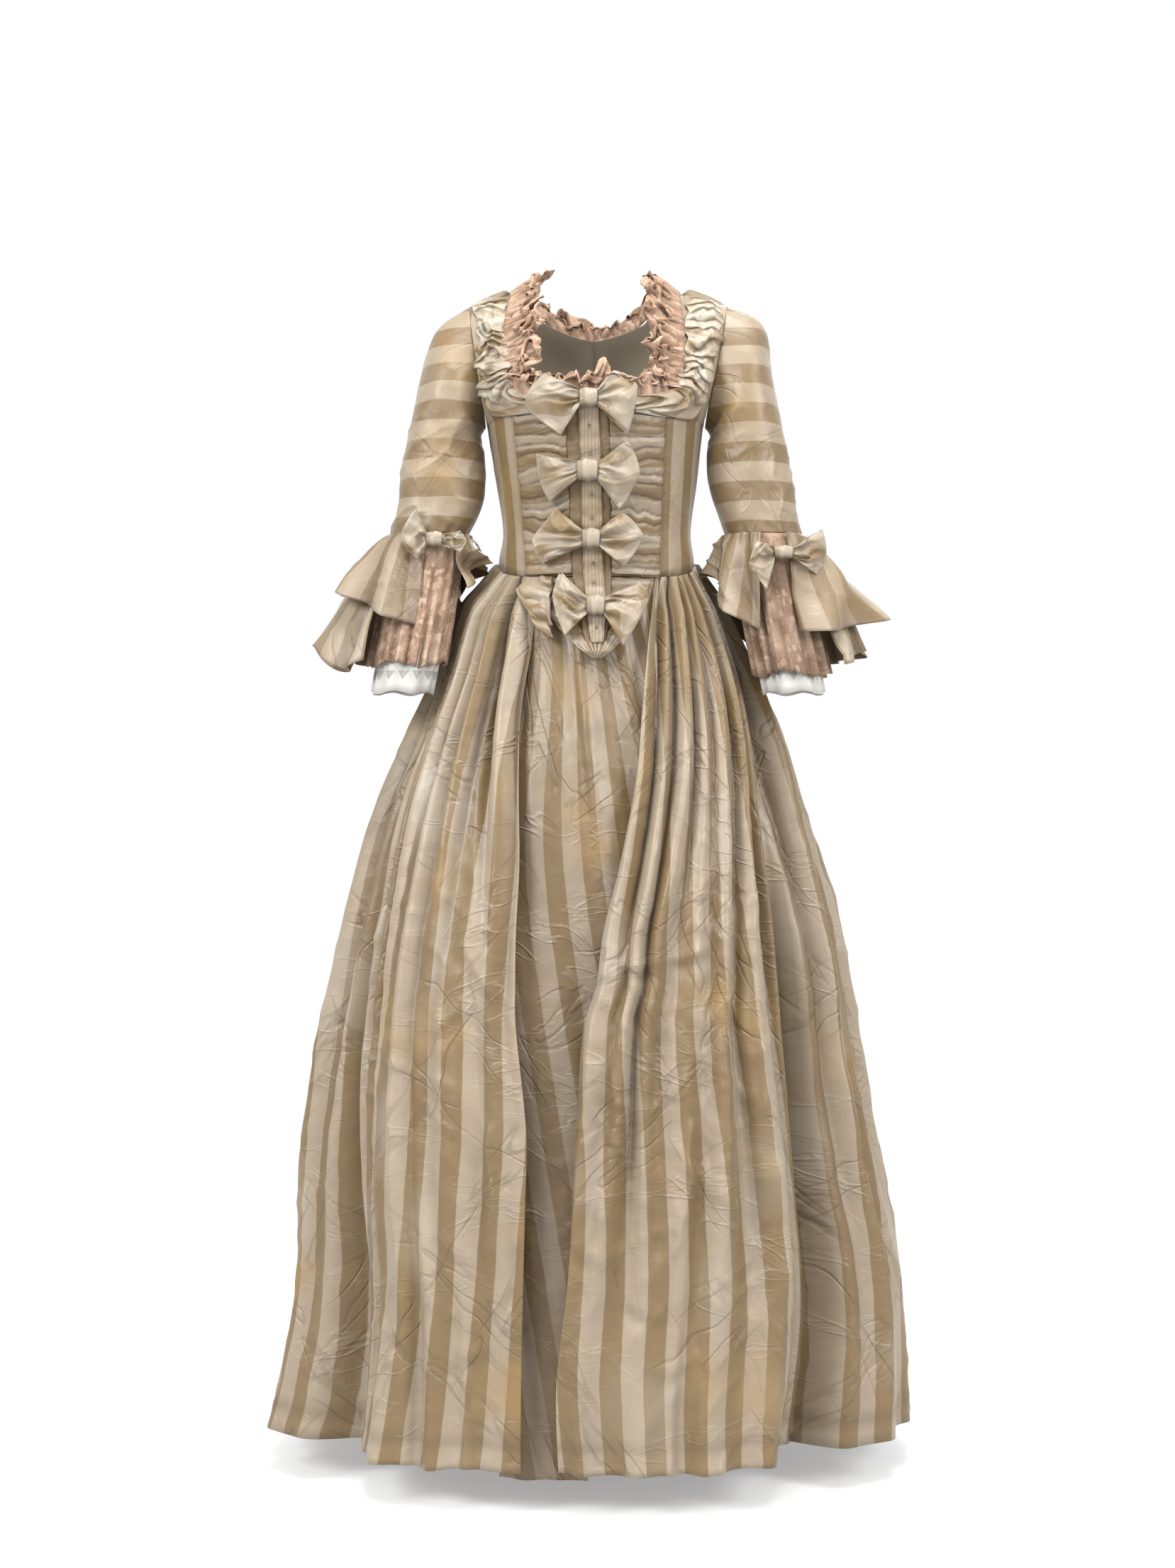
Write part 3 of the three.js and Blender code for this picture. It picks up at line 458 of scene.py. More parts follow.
class Shader:
    """Adds and links the nodes of one material."""

    def __init__(self, name):
        self.material = bpy.data.materials.new(name)
        self.material.use_nodes = True
        self.nodes = self.material.node_tree.nodes
        self.surface = self.nodes["Principled BSDF"]

    def add(self, kind, inputs=None, output=0, **settings):
        node = self.nodes.new(kind)
        for key, value in settings.items():
            setattr(node, key, value)
        for key, value in (inputs or {}).items():
            self.put(node.inputs[key], value)
        return node.outputs[output]

    def put(self, socket, value):
        if isinstance(value, bpy.types.NodeSocket):
            self.material.node_tree.links.new(value, socket)
        else:
            socket.default_value = value

    def set(self, socket, value):
        self.surface.inputs[socket].default_value = value

    def math(self, operation, *values):
        return self.add("ShaderNodeMath", dict(enumerate(values)), operation=operation)

    def times(self, a, b):
        return self.math("MULTIPLY", a, b)

    def plus(self, a, b):
        return self.math("ADD", a, b)

    def blend(self, share, a, b, how="MIX"):
        """Two colours mixed; sockets 0, 6 and 7 are the share and both colours."""
        node = self.nodes.new("ShaderNodeMix")
        node.data_type = "RGBA"
        node.blend_type = how
        for socket, value in ((0, share), (6, a), (7, b)):
            self.put(node.inputs[socket], value)
        return node.outputs[2]

    def between(self, share, a, b):
        """A place part of the way from one to another; sockets 0, 4 and 5."""
        node = self.nodes.new("ShaderNodeMix")
        node.data_type = "VECTOR"
        for socket, value in ((0, share), (4, a), (5, b)):
            self.put(node.inputs[socket], value)
        return node.outputs[1]

    def spread(self, value, low, high, to_low=0.0, to_high=1.0):
        inputs = {0: value, 1: low, 2: high, 3: to_low, 4: to_high}
        return self.add("ShaderNodeMapRange", inputs, interpolation_type="SMOOTHSTEP")

    def stretched(self, across, along):
        """The cloth's own coordinates, scaled across and along its threads."""
        cloth = self.add("ShaderNodeUVMap", uv_map="cloth")
        return self.add("ShaderNodeMapping", {"Vector": cloth, "Scale": (across, along, 1)})

    def noise(self, where, scale, detail=2.0, **settings):
        inputs = {"Vector": where, "Scale": scale, "Detail": detail}
        return self.add("ShaderNodeTexNoise", inputs, **settings)

    def creased(self, turn, long, short, width):
        """Thin wandering creases in patches, at a turn in degrees and of a size in metres."""
        cloth = self.add("ShaderNodeUVMap", uv_map="cloth")
        inputs = {"Vector": cloth, "Rotation": (0, 0, math.radians(turn))}
        turned = self.add("ShaderNodeMapping", inputs)
        inputs = {"Vector": turned, "Scale": (1 / long, 1 / short, 1)}
        place = self.add("ShaderNodeMapping", inputs)
        ripple = self.noise(place, 1, 1.5)
        off = self.math("ABSOLUTE", self.math("SUBTRACT", ripple, 0.5))
        line = self.spread(off, 0.0, width, 1.0, 0.0)
        patch = self.noise(place, 0.37, 1)
        return self.times(line, self.spread(patch, 0.5, 0.66))

    def attribute(self, name):
        return self.add("ShaderNodeAttribute", output=2, attribute_name=name)

    def finish(self, colour, roughness, height=None, strength=0.5, distance=0.001):
        self.put(self.surface.inputs["Base Color"], colour)
        self.put(self.surface.inputs["Roughness"], roughness)
        if height is not None:
            inputs = {"Strength": strength, "Distance": distance, "Height": height}
            self.put(self.surface.inputs["Normal"], self.add("ShaderNodeBump", inputs))


CREAM = (0.240, 0.192, 0.135, 1)
TAN = (0.146, 0.097, 0.044, 1)
SLEEVE_CREAM = (0.214, 0.165, 0.109, 1)
SLEEVE_TAN = (0.130, 0.083, 0.036, 1)
GOLD = (0.25, 0.155, 0.050, 1)
# Dark brown: folds, crease dents, recesses and shaded sides are darkened towards it as painted
# shade, and random blotches in the silk darken towards it too.
SHADE_AND_BLOTCH = (0.055, 0.032, 0.016, 1)
# Pale: fold tops, crease ridges and the bows are lightened towards it as painted highlights.
PALE = (0.36, 0.33, 0.27, 1)


def silk_material(name, cream=CREAM, tan=TAN, fine_stripes=False, creasing=1.0):
    """Taffeta with even stripes, fine ribs, slubs, gold discolouring, small sharp creases, and
    painted shade and highlights.
    """
    s = Shader(name)
    cloth = s.stretched(1, 1)
    wander = s.noise(cloth, 22, 2)
    across = s.add("ShaderNodeSeparateXYZ", {0: cloth})
    across = s.plus(across, s.times(s.math("SUBTRACT", wander, 0.5), 0.003))
    wave = s.math("SINE", s.times(across, TURN / STRIPE))
    stripe = s.spread(wave, -0.07, 0.07)
    colour = s.blend(stripe, cream, tan)
    if fine_stripes:
        lines = s.math("SINE", s.times(across, TURN / FINE_STRIPE))
        colour = s.blend(s.spread(lines, -0.2, 0.9, 0.0, 0.5), cream, tan)
    slubs = s.noise(s.stretched(28, 900), 1, 3)
    threads = s.noise(s.stretched(1400, 14), 1, 2)
    slubs = s.spread(slubs, 0.3, 0.7, 0.96, 1.04)
    streaks = s.times(slubs, s.spread(threads, 0.3, 0.7, 0.97, 1.03))
    grey = s.add("ShaderNodeCombineColor", {0: streaks, 1: streaks, 2: streaks})
    colour = s.blend(1.0, colour, grey, "MULTIPLY")
    stain = s.noise(cloth, 7, 4)
    colour = s.blend(s.spread(stain, 0.52, 0.78, 0.0, 0.6), colour, GOLD)
    blotch = s.noise(s.stretched(1, 0.5), 26, 5)
    colour = s.blend(s.spread(blotch, 0.56, 0.78, 0.0, 0.2), colour, SHADE_AND_BLOTCH)
    # Painted shade: the deep mark darkens folds, valleys, recesses and shaded sides.
    colour = s.blend(s.attribute("deep"), colour, SHADE_AND_BLOTCH)
    # Painted highlights: fold tops, lit edges and patches are lightened towards the pale colour.
    colour = s.blend(s.attribute("painted_highlight"), colour, PALE)
    dented = s.creased(38, 0.10, 0.032, 0.04)
    dented = s.times(s.plus(dented, s.creased(-62, 0.12, 0.03, 0.035)), creasing)
    raised = s.creased(-25, 0.08, 0.026, 0.035)
    short_lines = s.times(s.creased(8, 0.06, 0.016, 0.045), 0.5)
    raised = s.times(s.plus(raised, short_lines), creasing)
    # Painted shade in the dents of the small creases and painted highlights on their ridges.
    colour = s.blend(s.times(dented, 0.2), colour, SHADE_AND_BLOTCH)
    colour = s.blend(s.times(raised, 0.1), colour, PALE)
    lines = s.math("SUBTRACT", raised, dented)
    crushed = s.add("ShaderNodeTexVoronoi", {"Vector": cloth, "Scale": 31}, feature="F1")
    crushed = s.times(crushed, 0.35)
    height = s.plus(s.times(lines, 0.24), crushed)
    ribs = s.noise(s.stretched(60, 1500), 1, 1)
    height = s.plus(height, s.times(ribs, 0.04))
    shine = s.spread(blotch, 0.3, 0.7, 0.36, 0.52)
    s.set("Sheen Weight", 0.12)
    s.set("Sheen Roughness", 0.4)
    s.set("Specular IOR Level", 0.42)
    s.finish(colour, shine, height, strength=0.9, distance=0.0045)
    return s.material


def lining_material(name, colour):
    """Plain linen on the inside of the gown."""
    s = Shader(name)
    weave = s.noise(s.stretched(700, 700), 1, 1)
    patch = s.noise(s.stretched(1, 1), 14, 3)
    dark = tuple(0.62 * c for c in colour[:3]) + (1,)
    tone = s.blend(s.spread(patch, 0.3, 0.7, 0.0, 0.5), colour, dark)
    s.set("Specular IOR Level", 0.15)
    s.finish(tone, 0.9, weave, strength=0.3, distance=0.0006)
    return s.material


def lace_material(name, colour, light, holes):
    """Lace net with a running flower pattern worked over it."""
    s = Shader(name)
    cloth = s.stretched(1, 1)
    warped = s.between(0.02, cloth, s.noise(cloth, 60, 2, output=1))
    net = s.add(
        "ShaderNodeTexVoronoi", {"Vector": cloth, "Scale": 420}, feature="DISTANCE_TO_EDGE"
    )
    petals = s.add("ShaderNodeTexVoronoi", {"Vector": warped, "Scale": 75}, feature="F1")
    flower = s.spread(petals, 0.3, 0.42, 1.0, 0.0)
    threads = s.spread(net, 0.10, 0.2, 1.0, 0.0)
    cover = s.math("MAXIMUM", threads, flower)
    tone = s.noise(cloth, 30, 4)
    base = s.blend(s.spread(tone, 0.35, 0.7), colour, light)
    base = s.blend(s.times(flower, 0.65), base, light)
    # Painted shade in the lace's folds and over the lace on the shaded side.
    base = s.blend(s.attribute("deep"), base, SHADE_AND_BLOTCH)
    s.put(s.surface.inputs["Alpha"], s.math("MAXIMUM", cover, holes))
    s.set("Specular IOR Level", 0.2)
    s.finish(base, 0.85, cover, strength=0.6, distance=0.0008)
    return s.material


# The row of grey points on the gauze, in metres from the sleeve's end.
POINTS_START, POINTS_HEIGHT = 0.172, 0.011
POINT_WIDTH, POINT_GAP, POINT_SLOPE = 0.017, 0.0015, 0.6


def gauze_material(name):
    """White gauze with a row of small grey points woven in below the fold."""
    s = Shader(name)
    cloth = s.stretched(1, 1)
    split = s.add("ShaderNodeSeparateXYZ", {0: cloth})
    height = s.add("ShaderNodeSeparateXYZ", {0: cloth}, output=1)
    place = s.math("SUBTRACT", s.math("PINGPONG", split, POINT_WIDTH / 2), POINT_GAP)
    rise = s.math("SUBTRACT", height, POINTS_START)
    inside = s.math("LESS_THAN", s.times(rise, POINT_SLOPE), place)
    above = s.math("GREATER_THAN", rise, 0.0)
    below = s.math("LESS_THAN", rise, POINTS_HEIGHT)
    point = s.times(inside, s.times(above, below))
    colour = s.blend(point, (0.46, 0.45, 0.42, 1), (0.30, 0.29, 0.27, 1))
    weave = s.noise(s.stretched(900, 900), 1, 1)
    s.put(s.surface.inputs["Alpha"], s.spread(weave, 0.2, 0.6, 0.62, 0.92))
    s.set("Specular IOR Level", 0.2)
    s.finish(colour, 0.8, weave, strength=0.3, distance=0.0005)
    return s.material


def metal_material(name):
    s = Shader(name)
    s.set("Metallic", 0.9)
    s.finish((0.16, 0.13, 0.10, 1), 0.45)
    return s.material


SKIRT_SILK = silk_material("skirt_taffeta")
SILK = silk_material("striped_taffeta", creasing=0.35)
SLEEVE_SILK = silk_material("sleeve_taffeta", SLEEVE_CREAM, SLEEVE_TAN, creasing=0.4)
STRIP_SILK = silk_material("placket_taffeta", fine_stripes=True, creasing=0.3)
LINEN = lining_material("linen_lining", (0.25, 0.21, 0.155, 1))
# The sleeves and flounces are lined in a dark brown that stands in for the shade inside them.
SHADED_SLEEVE_LINING = lining_material("shaded_sleeve_lining", (0.10, 0.068, 0.040, 1))
LACE = lace_material("brown_lace", (0.235, 0.150, 0.102, 1), (0.41, 0.29, 0.210, 1), 0.75)
NECK_LACE = lace_material("neck_lace", (0.30, 0.185, 0.124, 1), (0.44, 0.305, 0.222, 1), 0.82)
GAUZE = gauze_material("white_gauze")
HOOK_METAL = metal_material("hook_metal")


# ------------------------------------------------------------------ meshes


def mesh_of(name, p, cloth, around, centre, marks):
    """A mesh of quads from a grid of points. A grid that goes around repeats its first column."""
    nu, nv = p.shape[:2]
    used = nu - 1 if around else nu
    vertices = p[:used].reshape(-1, 3) - (0, 0, SHOULDER_HEIGHT)
    i, j = np.meshgrid(np.arange(nu - 1), np.arange(nv - 1), indexing="ij")
    i, j = i.ravel(), j.ravel()
    corners = [(i, j), (i + 1, j), (i + 1, j + 1), (i, j + 1)]
    facing = normals(p)
    away = p - np.array([centre[0], centre[1], 0.0])
    away[..., 2] = 0
    if (facing * away).sum() < 0:
        corners.reverse()
    faces = np.stack([(a % used) * nv + b for a, b in corners], axis=1)
    places = np.stack([cloth[a, b] for a, b in corners], axis=1)
    mesh = bpy.data.meshes.new(name)
    mesh.from_pydata((vertices * METRE).tolist(), [], faces.tolist())
    layer = mesh.uv_layers.new(name="cloth")
    layer.data.foreach_set("uv", places.reshape(-1))
    # Two marks painted into the colour: deep is painted shade, with a few darker seam and hem lines,
    # and the other is painted highlight.
    for mark in ("deep", "painted_highlight"):
        values = np.clip(np.broadcast_to(marks.get(mark, 0.0), p.shape[:2]), 0, 1)
        attribute = mesh.attributes.new(mark, "FLOAT", "POINT")
        attribute.data.foreach_set("value", np.ascontiguousarray(values[:used], np.float32).ravel())
    mesh.shade_smooth()
    return mesh


def link(name, mesh, nodes):
    piece = bpy.data.objects.new(name, mesh)
    bpy.context.scene.collection.objects.link(piece)
    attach(piece, "root")
    if nodes:
        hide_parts(*nodes)
    return piece


# Points that the outer faces of the front's and the back's pieces look away from.
BEHIND_FRONT, BEHIND_BACK = (0, 60), (0, -80)


def cloth_piece(name, grids, looks, nodes=None,
                thickness=0.7, centre=(0, CENTRE_Y), around=False):
    """One cloth piece from one or more grids, each with its cloth coordinates and marks.

    looks is the outer material and the lining. The size it was cut to is worked out, but not used.
    """
    parts = []
    for n, (p, cloth, marks) in enumerate(grids):
        if GAUZE not in looks:
            cloth = cloth + (0, CUT_APART * len(bpy.data.meshes))
        parts.append(mesh_of(f"{name}_{n}", p, cloth, around, centre, marks))
    piece = link(f"{name}_cloth", parts[0], nodes if nodes is not None else [name])
    join(piece, parts[1:])
    for look in looks:
        piece.data.materials.append(look)
    shell = piece.modifiers.new("thickness", "SOLIDIFY")
    shell.thickness = thickness * METRE
    shell.offset = -1
    shell.material_offset = len(looks) - 1
    widths = [travelled(p, 0)[-1].max() * METRE for p, _, _ in grids]
    lengths = [travelled(p, 1)[:, -1].max() * METRE for p, _, _ in grids]
    area = sum(area_of(p) for p, _, _ in grids) * METRE**2
    flat = (sum(widths), max(lengths))
    area = min(area, flat[0] * flat[1])
    return piece


def join(piece, meshes):
    """Adds further meshes to a piece's own."""
    if not meshes:
        return
    extra = []
    for mesh in meshes:
        other = bpy.data.objects.new("part", mesh)
        bpy.context.scene.collection.objects.link(other)
        extra.append(other)
    with bpy.context.temp_override(
        active_object=piece, selected_editable_objects=[piece, *extra]
    ):
        bpy.ops.object.join()


# ------------------------------------------------------------------ the body's form


def shoulder_line(x):
    return NECK_HEIGHT - SHOULDER_SLOPE * (np.abs(x) - NECK_X)


def waist_seam(angle):
    share = np.minimum(np.abs(angle), math.pi / 2) / (math.pi / 2)
    return WAIST_HEIGHT - WAIST_DIP * (1 - share**3)


def armhole(angle, column):
    right, left = (SLEEVE[side][column][0] for side in SIDES)
    return np.where(angle < 0, right, left)


def torso(angle, height):
    """The bodice's form at angles from the centre front."""
    front = np.cos(angle) > 0
    start = np.where(front, BUST_HEIGHT, BLADE_HEIGHT)
    power = np.where(front, 1.5, 2.0)
    width = sided(TORSO, "height", height, angle)
    low = np.minimum(height, start)
    depth = np.where(
        front, -read(TORSO, "height", low, "front"), read(TORSO, "height", low, "back")
    )

    def depth_at(x):
        q = np.clip((height - start) / (shoulder_line(x) - start), 0, 1)
        across = np.sqrt(np.maximum(1 - (x / width) ** 2, 0))
        return depth * across * (1 - q**power) ** (1 / power)

    x = width * np.sin(angle)
    y = CENTRE_Y + depth_at(x)
    inner_z, outer_z = armhole(angle, "inner_z"), armhole(angle, "outer_z")
    up = np.clip((height - inner_z) / (outer_z - inner_z), 0, 1)
    edge_x = mix(armhole(angle, "inner_x"), armhole(angle, "outer_x"), up)
    bulge = 2 * armhole(angle, "deep") * np.sqrt(up * (1 - up))
    edge_y = armhole(angle, "y") + np.where(front, -bulge, bulge)
    share = np.where(up > 0, np.minimum(np.abs(x) / edge_x, 1) ** 8, 0)
    y = y + share * (edge_y - CENTRE_Y - depth_at(edge_x))
    return points(x, y, height)


def skirt_form(angle, drop, lift=0):
    """The skirt's smooth form, pushed out along its plan's normal by lift."""
    width = sided(SKIRT, "drop", drop, angle)
    front, back = read(SKIRT, "drop", drop, "front"), read(SKIRT, "drop", drop, "back")
    depth = np.where(np.cos(angle) > 0, front, back)
    nx, ny = np.sin(angle) / width, -np.cos(angle) / depth
    length = np.hypot(nx, ny)
    seam = waist_seam(angle)
    return points(
        width * np.sin(angle) + lift * nx / length,
        read(SKIRT, "drop", drop, "centre") - depth * np.cos(angle) + lift * ny / length,
        seam - SEAM / 2 - drop / FULL_DROP * (seam - HEM_HEIGHT),
    )


def drop_at(angle, height):
    seam = waist_seam(angle)
    return (seam - height) / (seam - HEM_HEIGHT) * FULL_DROP


def body_y(x, height, behind):
    drop = drop_at(0, height)
    below = height < waist_seam(0)
    wide = sided(SKIRT, "drop", drop, x)
    torso_wide = sided(TORSO, "height", height, x)
    skirt_angle = np.arcsin(np.clip(x / wide, -1, 1))
    angle = np.arcsin(np.clip(x / torso_wide, -1, 1))
    if behind:
        angle = math.pi * np.where(x < 0, -1, 1) - angle
    return np.where(below, skirt_form(skirt_angle, drop)[..., 1], torso(angle, height)[..., 1])


def on_body(x, height, lift, behind=False):
    """The front or the back at an x and a height, raised off the form."""
    x, height = np.broadcast_arrays(np.asarray(x, float), np.asarray(height, float))
    step = 2
    y = body_y(x, height, behind)
    slope_x = (body_y(x + step, height, behind) - body_y(x - step, height, behind)) / (2 * step)
    slope_z = (body_y(x, height + step, behind) - body_y(x, height - step, behind)) / (2 * step)
    turn = 1 if behind else -1
    length = np.sqrt(1 + slope_x**2 + slope_z**2)
    return points(
        x - turn * slope_x * lift / length,
        y + turn * lift / length,
        height - turn * slope_z * lift / length,
    )


# ------------------------------------------------------------------ bodice

LOW_ROWS = (0, 0.25, 0.55, 0.85, 1)
PANEL_ROWS = 12
BODICE_CREASES = ((20, 26, 0.9), (-35, 30, 0.8), (80, 18, 0.4))
BODICE_PHASE = {"right": 0.033, "left": 0.012}


def sleeve_ring(side, ring, turn):
    """A point round a sleeve; ring is the row of the table, with places between rows."""
    value = {name: read(SLEEVE[side], "ring", ring, name) for name in SLEEVE[side]}
    t = (1 + np.cos(turn)) / 2
    return points(
        SIGN[side] * mix(value["inner_x"], value["outer_x"], t),
        value["y"] - value["deep"] * np.sin(turn),
        mix(value["inner_z"], value["outer_z"], t),
    )


def outer_edge(side, row, behind):
    """The side seam and half the armhole, as points up a panel's outer edge."""
    low = np.minimum(row, 4)
    inner_z = SLEEVE[side]["inner_z"][0]
    height = mix(WAIST_HEIGHT + SEAM / 2, inner_z, np.interp(low, range(5), LOW_ROWS))
    seam = torso(np.full_like(height, SIGN[side] * math.pi / 2), height)
    turn = math.pi * (1 - np.maximum(row - 4, 0) / 8)
    arm = sleeve_ring(side, 0, -turn if behind else turn)
    return np.where((row < 4)[..., None], seam, arm)


def neck_curve(u):
    neck, corner = 0.58, 34
    return np.where(u < neck, corner * (u / neck) ** 2, corner * (1 - u) / (1 - neck))


def bodice_panel(side, behind):
    u, v = grid(36, 60)
    edge = outer_edge(side, v * PANEL_ROWS, behind)
    edge_x, edge_y, edge_z = edge[..., 0], edge[..., 1], edge[..., 2]
    top = BACK_NECK_HEIGHT if behind else NECK_HEIGHT
    level = (edge_z - WAIST_HEIGHT) / (SLEEVE[side]["outer_z"][0] - WAIST_HEIGHT)
    start_z = mix(WAIST_HEIGHT - (0 if behind else WAIST_DIP), top, level)
    start_x = 0 * start_z if behind else read(FRONT_SEAM, "height", start_z, side)
    begin = np.arcsin(start_x / read(TORSO, "height", start_z, side))
    end = np.arcsin(np.clip(edge_x / read(TORSO, "height", edge_z, side), -1, 1))
    angle = mix(begin, end, u)
    if behind:
        angle = math.pi * SIGN[side] - angle
    height = mix(start_z, edge_z, u) + (neck_curve(u) * level**4 if behind else 0)
    height = np.where(level < 0.01, waist_seam(angle) + SEAM / 2, height)
    p = torso(angle, height)
    p[..., 1] = np.where(u == 1, edge_y, p[..., 1])
    cloth = laid(travelled(p, 0) * METRE + BODICE_PHASE[side], height * METRE)
    free = between_edges(u, 8) * np.clip(14 * v, 0, 1)
    creases = crinkles(p[..., 0] + 0.4 * p[..., 1], p[..., 2], 3 + 2 * behind, BODICE_CREASES)
    pull = 1.6 * noise(u * 3, v * 7, 4) * free
    outward = normals(p) * SIGN[side] * (-1 if behind else 1)
    p = p + outward * (free * creases + pull)[..., None]
    seam = bell(travelled(p, 0) - 3, 1.6) * 0.35
    name = f"bodice_{'back' if behind else 'front'}_{side}"
    return cloth_piece(
        name, [(p, cloth, {"deep": seam})], (SILK, LINEN)
    )


def stomacher():
    u, v = grid(30, 40)
    height = mix(WAIST_HEIGHT - WAIST_DIP, NECKLINE_HEIGHT, v)
    right = read(FRONT_SEAM, "height", height, "right") + 3 * SEAM
    left = read(FRONT_SEAM, "height", height, "left") - 3 * SEAM
    p = on_body(mix(right, left, u), height + 1, 0)
    cloth = laid(p[..., 0] * METRE + 0.0175, height * METRE)
    # Painted shade: the whole stomacher is darkened, as it lies under the ruching.
    grids = [(p, cloth, {"deep": 0.2})]
    return cloth_piece("stomacher", grids, (SILK, LINEN))


# Where the ruching's pleats fold under, as heights, so that no two pleats are alike.
PLEAT_HEIGHTS = np.array(
    [1117, 1131, 1147, 1160, 1173, 1190, 1203, 1219, 1233, 1246, 1262, 1275, 1290, 1303, 1316]
)


def ruching(side):
    u, v = grid(36, 130)
    height = mix(1119, 1314, v)
    sign = SIGN[side]
    seam = read(FRONT_SEAM, "height", height, side) - sign * 1.5
    centre = read(PLACKET, "height", height, "centre")
    strip = centre + sign * (read(PLACKET, "height", height, "half") - 1)
    x = mix(strip, seam, u)
    seed = 20 if side == "right" else 31
    tilt = 9 * noise(u * 1.6, v * 5, seed) + 3.5 * noise(u * 6, v * 12, seed + 1)
    shifted = height + tilt * np.sin(math.pi * v) + (5 if side == "left" else 0)
    k = np.clip(np.searchsorted(PLEAT_HEIGHTS, shifted) - 1, 0, len(PLEAT_HEIGHTS) - 2)
    span = PLEAT_HEIGHTS[k + 1] - PLEAT_HEIGHTS[k]
    t = (shifted - PLEAT_HEIGHTS[k]) / span
    depth = 2.4 + 1.4 * noise(u * 2 + k, k * 1.7, seed + 2)
    hump = np.clip(t, 0, 1) ** 0.35 * (1 - np.clip(t, 0, 1) ** 9)
    edge = between_edges(u, 9)
    small = crinkles(x, height, seed + 3, ((75, 7, 1.1), (8, 8, 1.6)))
    p = on_body(x, height, 2.2 + (depth * hump + small) * mix(0.45, 1, edge))
    p[..., 2] -= 2.2 * hump * edge
    stripe = (height + 0.6 * tilt) * 1.28 * METRE
    cloth = laid(stripe, x * METRE)
    # Painted shade in the pleats' hollows and along the outer seam, with a greyer random tone;
    # painted highlights on the pleats' crests.
    greyed = 0.12 + 0.12 * noise(u * 3, v * 14, seed + 4)
    deep = np.clip(0.75 - 1.1 * hump, 0, 0.6) + 0.25 * bell(u - 1, 0.03) + greyed
    grids = [(p, cloth, {"deep": deep, "painted_highlight": 0.1 * hump**6})]
    name = f"stomacher_ruching_{side}"
    return cloth_piece(name, grids, (SILK,), centre=BEHIND_FRONT)


HOOK_HEIGHTS = (1296, 1262, 1214, 1186, 1130, 1104, 1048)
HOOK_RADIUS, HOOK_WIRE, HOOK_STRETCH = 1.5, 0.45, 1.25
STRIP_HALF = 12
PLACKET_LIFT, STRIP_LIFT, HOOK_LIFT = 3.6, 6.2, 8.2


def front_placket():
    u, v = grid(16, 120)
    height = mix(1015, 1333, v)
    half = read(PLACKET, "height", height, "half") - 0.5
    x = read(PLACKET, "height", height, "centre") + half * (2 * u - 1)
    ripple = 0.7 * noise(u * 2, v * 30, 41) + 0.5 * noise(u * 6, v * 60, 42)
    p = on_body(x, height, PLACKET_LIFT + ripple)
    cloth = laid((2 * u - 1) * half * METRE * 0.4 + 0.0125, height * METRE)
    # Painted shade along both edges, and a little all over.
    grids = [(p, cloth, {"deep": 0.12 + 0.3 * at_edges(u, 0.12)})]
    base = cloth_piece("front_placket", grids, (SILK,), centre=BEHIND_FRONT)

    u, v = grid(14, 170)
    height = mix(1030, 1332, v)
    half = np.minimum(STRIP_HALF, read(PLACKET, "height", height, "half") * 0.62)
    x = read(PLACKET, "height", height, "centre") + 2 + half * (2 * u - 1)
    pleat = 0.8 * np.sin(height * TURN / 23 + 2 * noise(u, v * 9, 44))
    p = on_body(x, height, STRIP_LIFT + pleat + 0.6 * noise(u * 5, v * 50, 43))
    cloth = laid(x * METRE, height * METRE)
    # Painted shade along both edges and in the dips between the pleats.
    deep = 0.3 * at_edges(u, 0.16) + 0.12 * bell(pleat + 0.8, 0.3)
    grids = [(p, cloth, {"deep": deep})]
    cloth_piece(
        "placket_strip", grids, (STRIP_SILK,), nodes=(),
        centre=BEHIND_FRONT,
    )
    hooks()
    return base


def hooks():
    """Small metal hooks down the placket's strip."""
    vertices, faces = [], []
    for height in HOOK_HEIGHTS:
        x = float(read(PLACKET, "height", height, "centre")) + 2
        middle = on_body(x, height, HOOK_LIFT)
        turns = np.linspace(0, TURN, 13)[:-1]
        ring = []
        for turn in turns:
            for small in (0, 1, 2, 3):
                tube = small * TURN / 4
                radius = HOOK_RADIUS + HOOK_WIRE * math.cos(tube)
                place = (
                    middle[0] + radius * math.cos(turn),
                    middle[1] + HOOK_WIRE * math.sin(tube),
                    middle[2] + HOOK_STRETCH * radius * math.sin(turn),
                )
                ring.append(place)
        first = len(vertices)
        vertices += ring
        count = len(turns)
        for a in range(count):
            here, there = first + 4 * a, first + 4 * ((a + 1) % count)
            for b in range(4):
                c = (b + 1) % 4
                faces.append((here + b, here + c, there + c, there + b))
    mesh = bpy.data.meshes.new("placket_hooks")
    place = (np.array(vertices) - (0, 0, SHOULDER_HEIGHT)) * METRE
    mesh.from_pydata(place.tolist(), [], faces)
    mesh.shade_smooth()
    piece = link("placket_hooks", mesh, ())
    piece.data.materials.append(HOOK_METAL)


def basque():
    u, v = grid(54, 44)
    height = mix(1011, WAIST_HEIGHT - WAIST_DIP - 1.2, v)
    half = read(BASQUE, "height", height, "half")
    x = read(BASQUE, "height", height, "centre") + half * (2 * u - 1)
    tip = bell(v, 0.22)
    gathers = 1.6 * np.sin(u * TURN * 9 + 2 * noise(u * 4, v * 3, 51)) * tip
    pleats = 1.6 * np.sin(height * TURN / 17 + 3 * noise(u * 3, v * 2, 52)) * (1 - tip)
    soft = crinkles(x, height, 53, ((15, 14, 1.2), (-30, 18, 1.0)))
    p = on_body(x, height, 1.0 + gathers + pleats + soft + 2.5 * tip)
    cloth = laid(height * 1.25 * METRE, x * METRE)
    # Painted shade higher up, and a painted highlight on the point that stands out.
    grids = [(p, cloth, {"deep": 0.22 - 0.2 * tip, "painted_highlight": 0.3 * tip})]
    return cloth_piece(
        "basque_point", grids, (SILK,), centre=BEHIND_FRONT
    )


# ------------------------------------------------------------------ neckline trims


